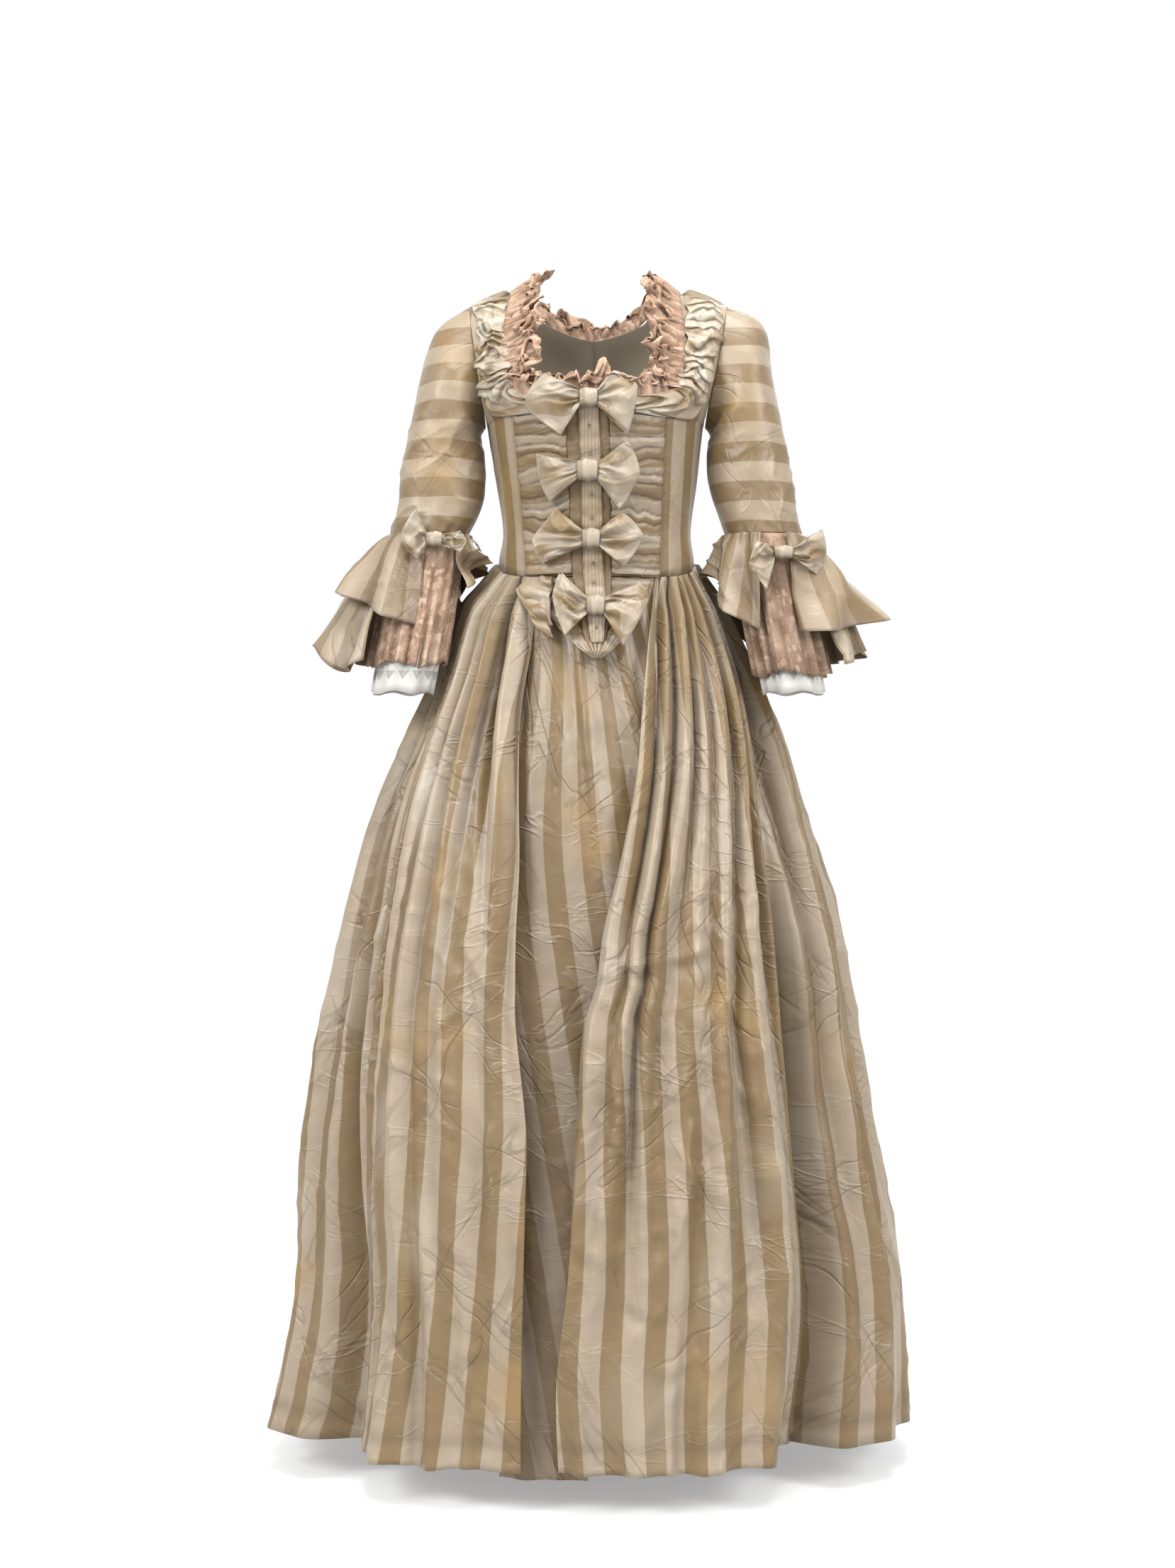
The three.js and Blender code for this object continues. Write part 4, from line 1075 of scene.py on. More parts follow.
def robing(side):
    """Ruched striped silk, crumpled into deep uneven folds across the strip."""
    u, v = grid(40, 170)
    centre = read(ROBING, "along", v, side)
    height = read(ROBING, "along", v, "height")
    half = read(ROBING, "along", v, "half")
    run = np.gradient(centre, axis=1)
    fall = np.gradient(height, axis=1)
    length = np.hypot(run, fall)
    seed = 60 if side == "right" else 71
    edge = 1 + 0.26 * noise(v * 16, u * 0 + np.sign(u - 0.5), seed)
    across = half * (2 * u - 1) * edge
    x = centre - across * fall / length
    z = height + across * run / length
    z = np.minimum(z, shoulder_line(x) - 2)
    phase = v * 12 + 1.1 * noise(u * 2.2, v * 6, seed + 1)
    t = phase % 1
    fold = t**0.7 * (1 - t**6) * 1.35
    lumps = 4.5 * noise(u * 3, v * 15, seed + 2) + 2.4 * noise(u * 7, v * 30, seed + 3)
    crowned = np.sin(math.pi * np.clip(u, 0.02, 0.98)) ** 0.5
    small = crinkles(across, v * 180, seed + 4, ((10, 9, 4.0), (70, 11, 3.8)))
    z = z - 3.5 * crowned * fold
    p = on_body(x, z, 2.6 + crowned * np.maximum(1.5 + 6 * fold + lumps + small, 0))
    band = v * 0.30 + 0.03 * noise(u * 1.6, v * 7, seed + 5)
    cloth = laid(band, across * METRE)
    # Painted shade in the folds' hollows and along both edges; painted highlights on the fold tops
    # and in random patches.
    deep = np.clip(0.45 - 1.1 * fold, 0, 0.5) + 0.4 * at_edges(u, 0.06)
    painted_highlight = np.clip(0.6 * fold**2 + 0.7 * noise(u * 2, v * 9, seed + 6), 0, 0.8)
    marks = {"deep": deep, "painted_highlight": painted_highlight}
    name = f"robing_{side}"
    return cloth_piece(name, [(p, cloth, marks)], (SILK,), centre=BEHIND_FRONT)


def back_neck(x):
    return mix(BACK_NECK_HEIGHT, NECK_HEIGHT, (np.abs(x) / NECK_X) ** 2)


def robing_back():
    u, v = grid(110, 24)
    x = 88 * (2 * u - 1)
    fold = np.abs(np.sin(math.pi * (u * 10 + 0.8 * noise(u * 5, v * 2, 81)))) ** 0.7
    edge = np.minimum(back_neck(x), shoulder_line(x)) - 8 - 40 * v
    lumps = 2.5 * noise(u * 13, v * 3, 82) + 1.2 * noise(u * 26, v * 6, 83)
    crowned = np.sin(math.pi * np.clip(v, 0.02, 0.98)) ** 0.5
    p = on_body(x, edge, 2.6 + crowned * (1.5 + 6 * fold + lumps), behind=True)
    cloth = laid(u * 0.28, v * 0.04)
    # Painted shade in the folds' hollows and painted highlights on their tops.
    marks = {"deep": np.clip(0.55 - 1.2 * fold, 0, 0.5), "painted_highlight": 0.6 * fold**3}
    grids = [(p, cloth, marks)]
    return cloth_piece("robing_back", grids, (SILK,), centre=BEHIND_BACK)


def no_spike(u):
    return 0 * u


def lace_ruffle(name, sewn, along, out, seed, size, centre, layers=3, spike=no_spike):
    """Layers of crumpled lace from one sewn edge. along and out are millimetre directions."""
    grids = []
    for layer in range(layers):
        u, v = grid(*size)
        start = sewn(u, layer)
        reach = 1 + 0.4 * noise(u * 24, u * 0 + layer, seed + layer) + spike(u)
        phase = 9 * u * (1 + 0.25 * layer) + 1.1 * noise(u * 7, v * 1.5, seed + 3 + layer)
        wave = np.sin(TURN * phase) + 0.5 * noise(u * 40, v * 4, seed + 6 + layer)
        sway = noise(u * 22, v * 2, seed + 8 + layer)
        curl = np.sin(v * 2.2)
        p = start + along(u) * (curl * reach)[..., None] + out(u) * (
            v * (5 * wave + 7 - 3 * layer) + 2.5 * v * sway
        )[..., None]
        tangent = np.gradient(start, axis=0)
        tangent = tangent / np.maximum(np.linalg.norm(tangent, axis=-1, keepdims=True), 1e-9)
        p = p + tangent * (7 * v * noise(u * 18, v * 2 + layer, seed + 11))[..., None]
        for n, often in enumerate((14, 33)):
            first = seed + 20 + 7 * n + layer
            crumple = [noise(u * often, v * often / 6, first + k) for k in range(3)]
            p = p + v[..., None] ** 0.35 * np.stack(crumple, axis=-1) * (82 / often)
        cloth = laid(u * 0.5 + 0.1 * layer, v * 0.04)
        # Painted shade in the wave troughs and near the sewn edge, under the outer layers.
        deep = np.clip(0.25 - 0.4 * (wave + 0.6), 0, 0.4) + 0.15 * (1 - v)
        grids.append((p, cloth, {"deep": np.clip(deep, 0, 0.45)}))
    return cloth_piece(
        name, grids, (NECK_LACE,), thickness=0.5,
        centre=centre,
    )


def direction(u, x, y, z):
    return points(x + 0 * u, y + 0 * u, z + 0 * u)


def neck_lace_side(side):
    sign = SIGN[side]

    def sewn(u, layer):
        height = mix(NECKLINE_HEIGHT + 4, NECK_HEIGHT - 3, u)
        x = read(FRONT_SEAM, "height", height, side) + sign * (1 + 7 * layer)
        return on_body(x, np.minimum(height, shoulder_line(x) - 3), 2.5 + 1.5 * layer)

    def along(u):
        return direction(u, -sign * 30, -10, mix(3, 16, u))

    def out(u):
        return direction(u, 0, -1, 0.35)

    seed = 91 if side == "right" else 103
    name = f"neck_lace_{side}"
    return lace_ruffle(name, sewn, along, out, seed, (190, 13), BEHIND_FRONT)


def neck_lace_front():
    def sewn(u, layer):
        right = float(read(FRONT_SEAM, "height", NECKLINE_HEIGHT, "right"))
        x = mix(right + 2, 88, u)
        dip = 7 * np.sin(math.pi * u)
        return on_body(x, NECKLINE_HEIGHT - 4 - dip - 5 * layer, 3 + 1.5 * layer)

    def along(u):
        return direction(u, 0, 2, 27)

    def out(u):
        return direction(u, 0, -1, 0)

    def spike(u):
        return 0.55 * bell(u - 0.58, 0.014)

    return lace_ruffle(
        "neck_lace_front", sewn, along, out, 115, (200, 12), BEHIND_FRONT, 2, spike
    )


def neck_lace_back():
    def sewn(u, layer):
        x = mix(-84, 84, u)
        return on_body(x, back_neck(x) - 6, 4 + 1.5 * layer, behind=True)

    def along(u):
        return direction(u, 0, 5, 26)

    def out(u):
        return direction(u, 0, 1, 0)

    return lace_ruffle("neck_lace_back", sewn, along, out, 127, (200, 12), BEHIND_BACK, 2)


# ------------------------------------------------------------------ bows

BOW_LIFT = 13.3


def rim_of(edge, v):
    """A bow's outer edge: a curve through three points that keeps its corners sharp."""
    weights = [(1 - v) * (1 - 2 * v), 4 * v * (1 - v), v * (2 * v - 1)]
    curved = [sum(p[k] * w for p, w in zip(edge, weights)) for k in (0, 1)]
    straight = [np.interp(v, (0, 0.5, 1), [p[k] for p in edge]) for k in (0, 1)]
    return [mix(a, b, 0.45) for a, b in zip(curved, straight)]


def bow_wing(name, bow, end, place, lift, seed, cloth_at):
    """One loop of a bow: out along the front, round the outer edge and back behind."""
    knot, size, edge = bow["knot"], bow["size"], bow[end]
    a, v = grid(44, 34)
    centre = place(np.array(knot[0]), np.array(knot[1]), lift["knot"])
    outward = math.copysign(1, edge[1][0] - knot[0])
    reach = 1 - np.abs(2 * a - 1)
    front = np.where(a < 0.5, 1.0, -1.0)
    root = points(
        centre[0] + outward * (size[0] - 3) + 0 * v,
        centre[1] - 1.5 * front,
        centre[2] + size[2] * 0.75 * (1 - 2 * v),
    )
    rim_x, rim_z = rim_of(edge, v)
    rim = place(rim_x, rim_z, lift["rim"] + 2)
    spread = reach ** (0.85 + 0.12 * np.abs(2 * v - 1))
    p = mix(root, rim, spread[..., None])
    rounded = np.sin(math.pi * np.clip(reach, 0, 1)) ** 0.8
    puff = 7.5 * rounded * np.sin(math.pi * mix(0.12, 0.88, v))
    pleat = np.cos(TURN * (2.4 * v + 0.9 * noise(v * 3, reach * 2, seed)))
    gather = 3.0 * pleat * (1 - reach) ** 0.6 * np.clip(reach * 6, 0, 1)
    soft = 3.4 * noise(reach * 2.4, v * 2.6 + 5 * front, seed + 1)
    sharp = crinkles(reach * 60, v * 60, seed + 2 + front, ((30, 15, 4.4), (-25, 20, 3.8)))
    waver = reach * (1.8 * noise(v * 5, reach, seed + 6))
    p[..., 1] -= front * (puff + 0.6) + gather + np.clip(reach * 4, 0, 1) * (soft + sharp) + waver
    p[..., 2] += 2.2 * reach * noise(v * 4, front, seed + 7)
    stripe, run = cloth_at(v + 0.22 * noise(reach * 2, v * 2, seed + 9), reach)
    cloth = laid(stripe, run)
    # Painted shade near the knot and in the gathers; painted highlights over the wing, strongest at
    # the outer rim.
    deep = np.clip(0.25 * (1 - reach) ** 2 - 0.3 * pleat * (1 - reach), 0, 0.5)
    light = 0.2 + 0.4 * bell(reach - 1, 0.06) + 0.35 * noise(reach * 3, v * 4, seed + 8)
    painted_highlight = np.clip(light, 0, 0.5)
    grids = [(p, cloth, {"deep": deep, "painted_highlight": painted_highlight})]
    return cloth_piece(name, grids, (SILK,), centre=(centre[0], 200))


def bow_knot(name, centre, size, seed):
    """A gathered band of silk wrapped round the middle of a bow."""
    u, v = grid(33, 24)
    turn = TURN * u
    along = 2 * v - 1
    bulge = 1 - 0.16 * np.abs(along) ** 2.5 + 0.10 * np.cos(3 * turn + 1) * (1 - along**2)
    grooves = 0.05 * np.cos(along * 6 + 1.5 * np.sin(turn + seed)) * (1.2 - np.abs(along))
    flat = np.abs(np.cos(turn)) ** 0.75 * np.sign(np.cos(turn))
    tall = np.abs(np.sin(turn)) ** 0.75 * np.sign(np.sin(turn))
    radius = bulge + grooves
    close = np.clip((1.0 - np.abs(along)) * 12, 0, 1) ** 0.5
    p = points(
        centre[0] + size[0] * along * (0.92 + 0.05 * tall),
        centre[1] - size[1] * flat * radius * mix(0.72, 1, close),
        centre[2] + size[2] * tall * radius * mix(0.8, 1, close),
    )
    cloth = laid(0.030 + 0.012 * along, u * 0.06)
    # Painted shade in the grooves and at both ends against the wings; an even painted highlight all
    # over.
    deep = np.clip(0.32 - 3.5 * grooves, 0, 0.35) * 0.7 + 0.3 * at_edges(v, 0.1)
    grids = [(p, cloth, {"deep": deep, "painted_highlight": 0.25 + 0 * u})]
    return cloth_piece(
        name, grids, (SILK,), centre=(centre[0], centre[1]), around=True
    )


def front_bows():
    for index, bow in enumerate(BOWS):
        base = f"bow_{index + 1}"
        lift = {"knot": BOW_LIFT, "rim": BOW_LIFT - 2}
        centre = on_body(np.array(bow["knot"][0]), np.array(bow["knot"][1]), BOW_LIFT)
        bow_knot(f"{base}_knot", centre, bow["size"], index)
        for side in SIDES:
            shift = 0.013 + 0.017 * index + (0.02 if side == "left" else 0)

            def cloth_at(v, reach, shift=shift):
                return v * 0.075 + shift + 0.012 * reach, reach * 0.06

            seed = 140 + 17 * index + (8 if side == "left" else 0)
            name = f"{base}_{side}"
            bow_wing(name, bow, side, on_body, lift, seed, cloth_at)


PUFF_WIDTHS = (32, 44, 38, 21, 5)


def waist_puff():
    """The folded bow end at the waist, on the wearer's right of the basque."""
    grids = []
    for layer in range(2):
        u, v = grid(40, 50)
        height = mix(1113, 1036 + 14 * layer, v)
        wide = np.interp(v, (0, 0.18, 0.45, 0.75, 1), PUFF_WIDTHS) - 7 * layer * (1 - v)
        x = -50 - wide * u + 6 * v * noise(u * 2, v * 3, 209)
        fold = 2.4 * np.sin(TURN * (v * 2.3 + 0.5 * u) + 2 * noise(u * 2, v * 2, 211 + layer))
        body = 5 * np.sin(math.pi * 0.8 * v) * np.sin(math.pi * mix(0.2, 0.9, u))
        small = crinkles(x, height, 213 + layer, ((50, 12, 1.6), (-40, 15, 1.3)))
        p = on_body(x, height, 3.5 + 4.5 * layer + body + fold + small)
        cloth = laid((u * 30 + v * 34 + 12 * layer) * METRE, v * 0.06)
        # A little painted shade all over and painted highlights on the folds' crests.
        grids.append((p, cloth, {"deep": 0.1, "painted_highlight": np.clip(fold * 0.12, 0, 0.4)}))
    return cloth_piece("waist_puff", grids, (SILK,), centre=(-60, 60))


# ------------------------------------------------------------------ sleeves

TAN_BAND_HEIGHT = {"right": 1420.5, "left": 1419}
BAND_PITCH = {"right": 48.2, "left": 49.0}
SLEEVE_CREASES = ((60, 22, 2.4), (-35, 30, 2.4), (5, 26, 1.8))
FLOUNCE_CREASES = ((85, 18, 4.2), (50, 22, 4.4), (-30, 26, 3.2))


def sleeve(side):
    u, v = grid(97, 90)
    turn = TURN * u
    p = sleeve_ring(side, v * SLEEVE_RINGS, turn)
    seed = 220 if side == "right" else 231
    elbow = bell(v - 0.72, 0.22) * np.clip(np.sin(turn) * 0.5 + 0.5, 0, 1)
    inner = np.clip(-np.cos(turn), 0, 1)
    around = np.cos(turn)
    bent = TURN * (v * 5 + 0.35 * around) + 2 * noise(around * 2, v * 4, seed)
    pulls = 0.8 * np.sin(bent) * inner
    long_folds = 1.5 * np.cos(3 * turn + 6 * v) * np.clip(v * 3, 0, 1)
    height = p[..., 2]
    small = crinkles(around * 70, height, seed + 1, SLEEVE_CREASES)
    soft = 1.8 * noise(around * 2.2 + 3, v * 6, seed + 4)
    gather = 1.4 * np.cos(turn * 16 + 2 * noise(np.cos(turn) * 4, v, seed + 5)) * bell(v - 1, 0.05)
    free = np.clip(v * 7, 0, 1)
    lift = free * (pulls + long_folds + small * (0.6 + elbow) + soft + gather - 1.0)
    lift = lift * mix(1, 0.4, inner**2)
    p = p + normals(p) * SIGN[side] * lift[..., None]
    tilt = 0.03 * p[..., 1]
    band = (TAN_BAND_HEIGHT[side] - height - tilt) / BAND_PITCH[side] + 0.25
    cloth = laid(band * STRIPE, turn * 0.055)
    # Painted shade on the inner side of the arm and in the pulls' hollows; painted highlights on the
    # small creases.
    shade = 0.42 * np.clip(inner - 0.35, 0, 1) * np.clip(v * 3, 0, 1)
    marks = {
        "deep": np.clip(shade - 0.05 * pulls, 0, 0.5),
        "painted_highlight": np.clip(0.04 * small, 0, 0.12),
    }
    return cloth_piece(
        f"sleeve_{side}", [(p, cloth, marks)], (SLEEVE_SILK, SHADED_SLEEVE_LINING),
        centre=SLEEVE_END[side], around=True,
    )


def round_arm(side, turn, radius, height):
    down = np.clip((SLEEVE_END_HEIGHT - height) / (SLEEVE_END_HEIGHT - WRIST_HEIGHT), 0, 1)
    x = mix(SLEEVE_END[side][0], WRIST[side][0], down)
    y = mix(SLEEVE_END[side][1], WRIST[side][1], down)
    return points(
        x + SIGN[side] * radius * np.cos(turn), y - radius * np.sin(turn), height + 0 * turn
    )


def flounce(level, side):
    """A flounce hanging from the sleeve's end, open at the front of the arm."""
    table = FLOUNCES[level, side]
    u, v = grid(140, 30)
    upper = level == "upper"
    degrees = mix(table["round"][-1], table["round"][0], u)
    seed = {"upper": 240, "lower": 255}[level] + (5 if side == "left" else 0)
    radius, top = (51.5, 1173) if upper else (49, 1170.9)
    folds = 6 if upper else 4
    phase = folds * u + 0.55 * noise(u * 5, v * 1.2, seed)
    wave = np.sin(TURN * phase)
    reach = read(table, "round", degrees, "reach") + 2
    hem = read(table, "round", degrees, "height") + 1.5 * noise(u * 16, v * 0, seed + 1)
    spread = v**0.8 if upper else v
    turn = np.radians(degrees)
    small = crinkles(u * 260, v * 110, seed + 2, FLOUNCE_CREASES)
    gather = 1.6 * np.cos(u * TURN * 26) * bell(v, 0.12)
    out = mix(radius, reach, spread) + spread * (11 * wave + 4 * noise(u * 12, v * 3, seed + 3))
    out = out + np.clip(v * 5, 0, 1) * small + gather
    x, y = SLEEVE_END[side]
    p = points(
        x + SIGN[side] * out * np.cos(turn), y - out * np.sin(turn), mix(top, hem, v)
    )
    cloth = laid(u * 0.62 + 0.02, v * 0.12)
    # Painted shade in the folds' troughs and at the top under the sleeve's end, and a darker line
    # along the hem; painted highlights on the folds' crests.
    hemline = bell(v - 0.95, 0.012)
    deep = np.clip(0.1 - 0.4 * wave * v - 0.03 * small, 0, 0.45)
    deep = deep + 0.35 * hemline + 0.35 * bell(v, 0.08)
    marks = {"deep": deep, "painted_highlight": np.clip(0.2 * wave * v, 0, 0.2)}
    name = f"flounce_{level}_{side}"
    return cloth_piece(
        name, [(p, cloth, marks)], (SLEEVE_SILK, SHADED_SLEEVE_LINING),
        centre=SLEEVE_END[side],
    )


# shade is painted shade laid evenly over the whole ruffle, on the wearer's left only.
SLEEVE_LACE = {
    "right": {"bottom": 1008, "seed": 3, "shade": 0},
    "left": {"bottom": 996, "seed": 7, "shade": 0.3},
}
SLEEVE_LACE_RADIUS = 47.5


def sleeve_lace(side):
    """The lace ruffle that hangs straight down below the flounces."""
    style = SLEEVE_LACE[side]
    seed = style["seed"]
    u, v = grid(161, 30)
    turn = TURN * u
    phase = 15 * u + 0.25 * np.sin(turn * 2 + seed) + 0.12 * np.sin(turn * 5 + v * 2)
    wave = np.sin(TURN * phase) + 0.35 * np.sin(turn * 37 + 2 * np.sin(turn * 3 + seed))
    depth = v * (4.2 + 2.2 * np.sin(turn * 3 + seed))
    radius = SLEEVE_LACE_RADIUS + depth * wave - 1.5 * v
    ragged = 3 * np.sin(turn * 4 + seed) + 2.5 * np.sin(turn * 23 + seed) * np.sin(turn * 7)
    height = mix(SLEEVE_END_HEIGHT - SEAM, style["bottom"], v) + v * ragged
    p = round_arm(side, turn, radius, height)
    cloth = laid(u * 0.42, (SLEEVE_END_HEIGHT - height) * METRE)
    # Painted shade in the ruffle's folds, plus the side's even painted shade.
    folded = np.clip(0.05 - 0.2 * wave, 0, 0.22) * np.clip(v * 3, 0.3, 1)
    grids = [(p, cloth, {"deep": style["shade"] + folded})]
    return cloth_piece(
        f"sleeve_lace_{side}", grids, (LACE,),
        thickness=0.5, centre=SLEEVE_END[side], around=True,
    )


def under_cuff(side):
    u, v = grid(97, 20)
    turn = TURN * u
    radius = mix(42.5, 38, v) + 1.8 * v * np.sin(turn * 11 + 2 * np.sin(turn * 2))
    height = mix(SLEEVE_END_HEIGHT - SEAM, WRIST_HEIGHT, v) + 2 * v * np.sin(turn * 5 + 1)
    p = round_arm(side, turn, radius, height)
    cloth = laid(u * 0.238, (SLEEVE_END_HEIGHT - height) * METRE)
    grids = [(p, cloth, {})]
    return cloth_piece(
        f"under_cuff_{side}", grids, (GAUZE,),
        thickness=0.4, centre=SLEEVE_END[side], around=True,
    )


def sleeve_bow(side):
    bow = SLEEVE_BOWS[side]
    middle_x, middle_y = SLEEVE_END[side]
    flatter = 30

    def place(x, height, lift):
        ring = np.sqrt(np.maximum((bow["seat"] + flatter) ** 2 - (x - middle_x) ** 2, 0))
        return points(x, middle_y + flatter - ring - lift, height)

    def cloth_at(v, reach):
        return v * 0.06 + 0.018 + 0.01 * reach, reach * 0.05

    base = f"sleeve_bow_{side}"
    centre = place(np.array(bow["knot"][0]), np.array(bow["knot"][1]), 0)
    bow_knot(f"{base}_knot", centre, bow["size"], 9)
    for n, end in enumerate(("outer", "inner")):
        lift = {"knot": 0, "rim": bow["spread"]}
        seed = 270 + 9 * n + (4 if side == "left" else 0)
        name = f"{base}_{end}"
        bow_wing(name, bow, end, place, lift, seed, cloth_at)


# ------------------------------------------------------------------ skirt

# Each skirt panel: how many pleats it has, where its cloth's stripes start in metres, which way the
# pleats lean, how much painted shade lies along the side seam, and its grid.
SKIRT_PANELS = {
    "front_right": {
        "count": 6, "start": 0.012, "seed": 300, "lean": 1, "shadow": 0.0375, "grid": (130, 200),
    },
    "front_left": {
        "count": 6, "start": 0.003, "seed": 320, "lean": -1, "shadow": 0.12, "grid": (150, 200),
    },
    "back_right": {
        "count": 12, "start": 0.020, "seed": 340, "lean": 1, "shadow": 0.095, "grid": (150, 95),
    },
    "back_left": {
        "count": 12, "start": 0.041, "seed": 360, "lean": -1, "shadow": 0.304, "grid": (150, 95),
    },
}
SEAM_UNDERLAP = 9  # how far the back panels reach in under the front ones
SEAM_TUCK = 6  # how far behind the front panels that strip lies
STRIPE_LEAN = 0.055  # how far the stripes of the front panels lean out as they go down
SIDE_RECESS = {"right": 8, "left": 20}  # how far the back panels go in behind the front ones
SKIRT_CRINKLES = ((28, 30, 3.2), (-38, 34, 3.0), (8, 44, 2.6), (70, 50, 3.2))


def open_angle(side, drop):
    height = waist_seam(0) - drop / FULL_DROP * (waist_seam(0) - HEM_HEIGHT)
    x = read(OPEN_EDGE, "height", height, side)
    return np.arcsin(x / sided(SKIRT, "drop", drop, x))


def seam_angle(side, drop):
    return SIGN[side] * np.radians(read(SIDE_SEAM, "drop", drop, side))


def large_folds(side, panel, u, drop, from_seam):
    """The CAD's ridges and side valleys."""
    share = drop / FULL_DROP
    out = -read(VALLEY, "drop", drop, side) * bell(from_seam, VALLEY_WIDTH)
    for along, waist, middle, bottom, width in RIDGES[panel]:
        depth = np.interp(share, (0, 0.5, 1), (waist, middle, bottom))
        out = out + depth * bell(u - along, width)
    return out


def hand_creases(x, z):
    """Sharp ridges along the listed creases, with a shallow dip under each."""
    total = 0
    for x0, z0, x1, z1, height, width in CREASES:
        run = np.array([x1 - x0, z1 - z0], float)
        length = np.linalg.norm(run)
        run /= length
        along = (x - x0) * run[0] + (z - z0) * run[1]
        across = (z - z0) * run[0] - (x - x0) * run[1] + 4 * np.sin(along / 19)
        inside = np.clip(along / 14, 0, 1) * np.clip((length - along) / 14, 0, 1)
        ridge = np.exp(-np.abs(across) / width) - 0.55 * bell(across + 1.8 * width, 1.6 * width)
        total = total + height * inside * ridge
    return total


def skirt_panel(part, side, begin, end, front_edge=None):
    """A skirt panel whose cloth keeps its width: what the waist can't take goes into pleats.

    Returns how far it stands out down its last edge, as drops and distances. A back panel is
    given that of the front panel before it.
    """
    panel = f"{part}_{side}"
    style = SKIRT_PANELS[panel]
    seed = style["seed"]
    sign = SIGN[side]
    u, v = grid(*style["grid"])
    drop = FULL_DROP * (0.35 * v**2 + 0.65 * v)
    radius = read(SKIRT, "drop", drop, side)
    under = SEAM_UNDERLAP * np.clip(drop / 200, 0, 1) if part == "back" else -SEAM / 2
    first, last = begin(drop) - sign * under / radius, end(drop) - sign * SEAM / 2 / radius
    plain = skirt_form(mix(first, last, u), drop)
    span = travelled(plain, 0)[-1]
    cut = span.max() * 1.03
    ratio = np.clip(span / cut, 0.05, 1)[None, :]
    pitch = cut / style["count"]
    wander = 0.9 * noise(u * style["count"] * 0.45, 0 * v, seed)
    wander = wander + 0.5 * noise(u * 5, v * 2.6, seed + 1)
    phase = TURN * (style["count"] * u + wander * np.clip(0.35 + v, 0, 1))
    depth = np.minimum(pitch / 4 * np.sqrt(1 - ratio**2), 11)
    strength = np.clip(0.95 + 0.5 * noise(u * style["count"] * 0.9, v * 3, seed + 2), 0.25, 1.3)
    strength = mix(0.85, strength, np.clip(v * 4, 0, 1))
    waist = mix(0.3, 1, np.clip(drop / 30, 0, 1))
    wave = np.cos(phase + 0.3 * np.sin(phase))
    folds = depth * strength * waist * (wave - 0.85)
    lean = 0.27 * np.sin(phase + style["lean"] * 0.5) / style["count"]
    lean = lean * np.clip(1.05 - v * 1.1, 0, 1)
    edges = between_edges(u, 30)
    angle = mix(first, last, np.clip(u + lean * edges * 0.55, 0, 1))
    from_seam = (angle - seam_angle(side, drop)) * radius
    out = large_folds(side, panel, u, drop, from_seam) + folds
    if part == "front":
        out = out + deep_pleat(side, u, drop)
    else:
        loose = np.clip(drop / 200, 0, 1)
        out = out - SIDE_RECESS[side] * bell(np.abs(from_seam) - 14, 20) * loose
        tucked = np.interp(drop, *front_edge) - SEAM_TUCK * loose
        out = mix(out, tucked, smooth(np.clip(1.5 - np.abs(from_seam) / 14, 0, 1)))
    last_edge = (drop[-1], out[-1])
    low = np.clip((v - 0.12) * 2.2, 0.3, 1)
    x, z = plain[..., 0], plain[..., 2]
    flat_x = travelled(plain, 0)
    small = crinkles(flat_x, z, seed + 5, SKIRT_CRINKLES)
    soft = 5 * noise(flat_x / 95, z / 210, seed + 10) + 2.5 * noise(flat_x / 40, z / 90, seed + 11)
    creases = hand_creases(x, z) if part == "front" else 0
    hem_wave = 3 * noise(u * cut / 45, 0 * v, seed + 12) * np.clip(v * 6 - 5, 0, 1)
    hem_roll = 2.5 * bell(v - 1, 0.012) + hem_wave
    out = out + low * (small + soft + creases) * edges + hem_roll * edges
    p = skirt_form(angle, drop, out)
    p[..., 2] += 2.5 * noise(u * cut / 60, 0 * v, seed + 13) * np.clip(v * 10 - 9, 0, 1)
    across = u * cut - (STRIPE_LEAN * drop if part == "front" else 0)
    cloth = laid(across * METRE + style["start"], drop * METRE)
    # Painted shade in the pleats' valleys, less of it lower down, and along the side seam; a darker
    # line above the hem; painted highlights in random patches.
    open_low = np.clip(1.3 - 1.5 * v, 0.12, 1)
    valley = np.clip(0.9 * (-0.1 - wave), 0, 0.75) * np.clip(depth / 8, 0, 1) * open_low
    side_shadow = style["shadow"] * bell(from_seam, 70) * np.clip(drop / 300, 0, 1)
    valley = valley + side_shadow
    hem_line = 0.3 * bell(v - 0.978, 0.004)
    marks = {
        "deep": np.clip(valley + hem_line, 0, 0.7),
        "painted_highlight": np.clip(0.4 * noise(flat_x / 55, z / 130, seed + 15) - 0.1, 0, 0.25),
    }
    looks = (SKIRT_SILK, LINEN)
    cloth_piece(f"skirt_{panel}", [(p, cloth, marks)], looks)
    return last_edge


# The deep pleat behind each front edge: the drops it is given at and where it lies along the
# panel, its depth and half width, how it dies out, and the roll of the edge itself.
DEEP_PLEAT = {
    "right": {
        "drops": (0, 120, 400), "along": (0.30, 0.24, 0.16), "depth": 26, "half": 0.035,
        "fade": (1.25, 420), "roll": (7, 0.05),
    },
    "left": {
        "drops": (0, 300, 500), "along": (0.16, 0.12, 0.1), "depth": 16, "half": 0.03,
        "fade": (1.2, 460), "roll": (6, 0.035),
    },
}


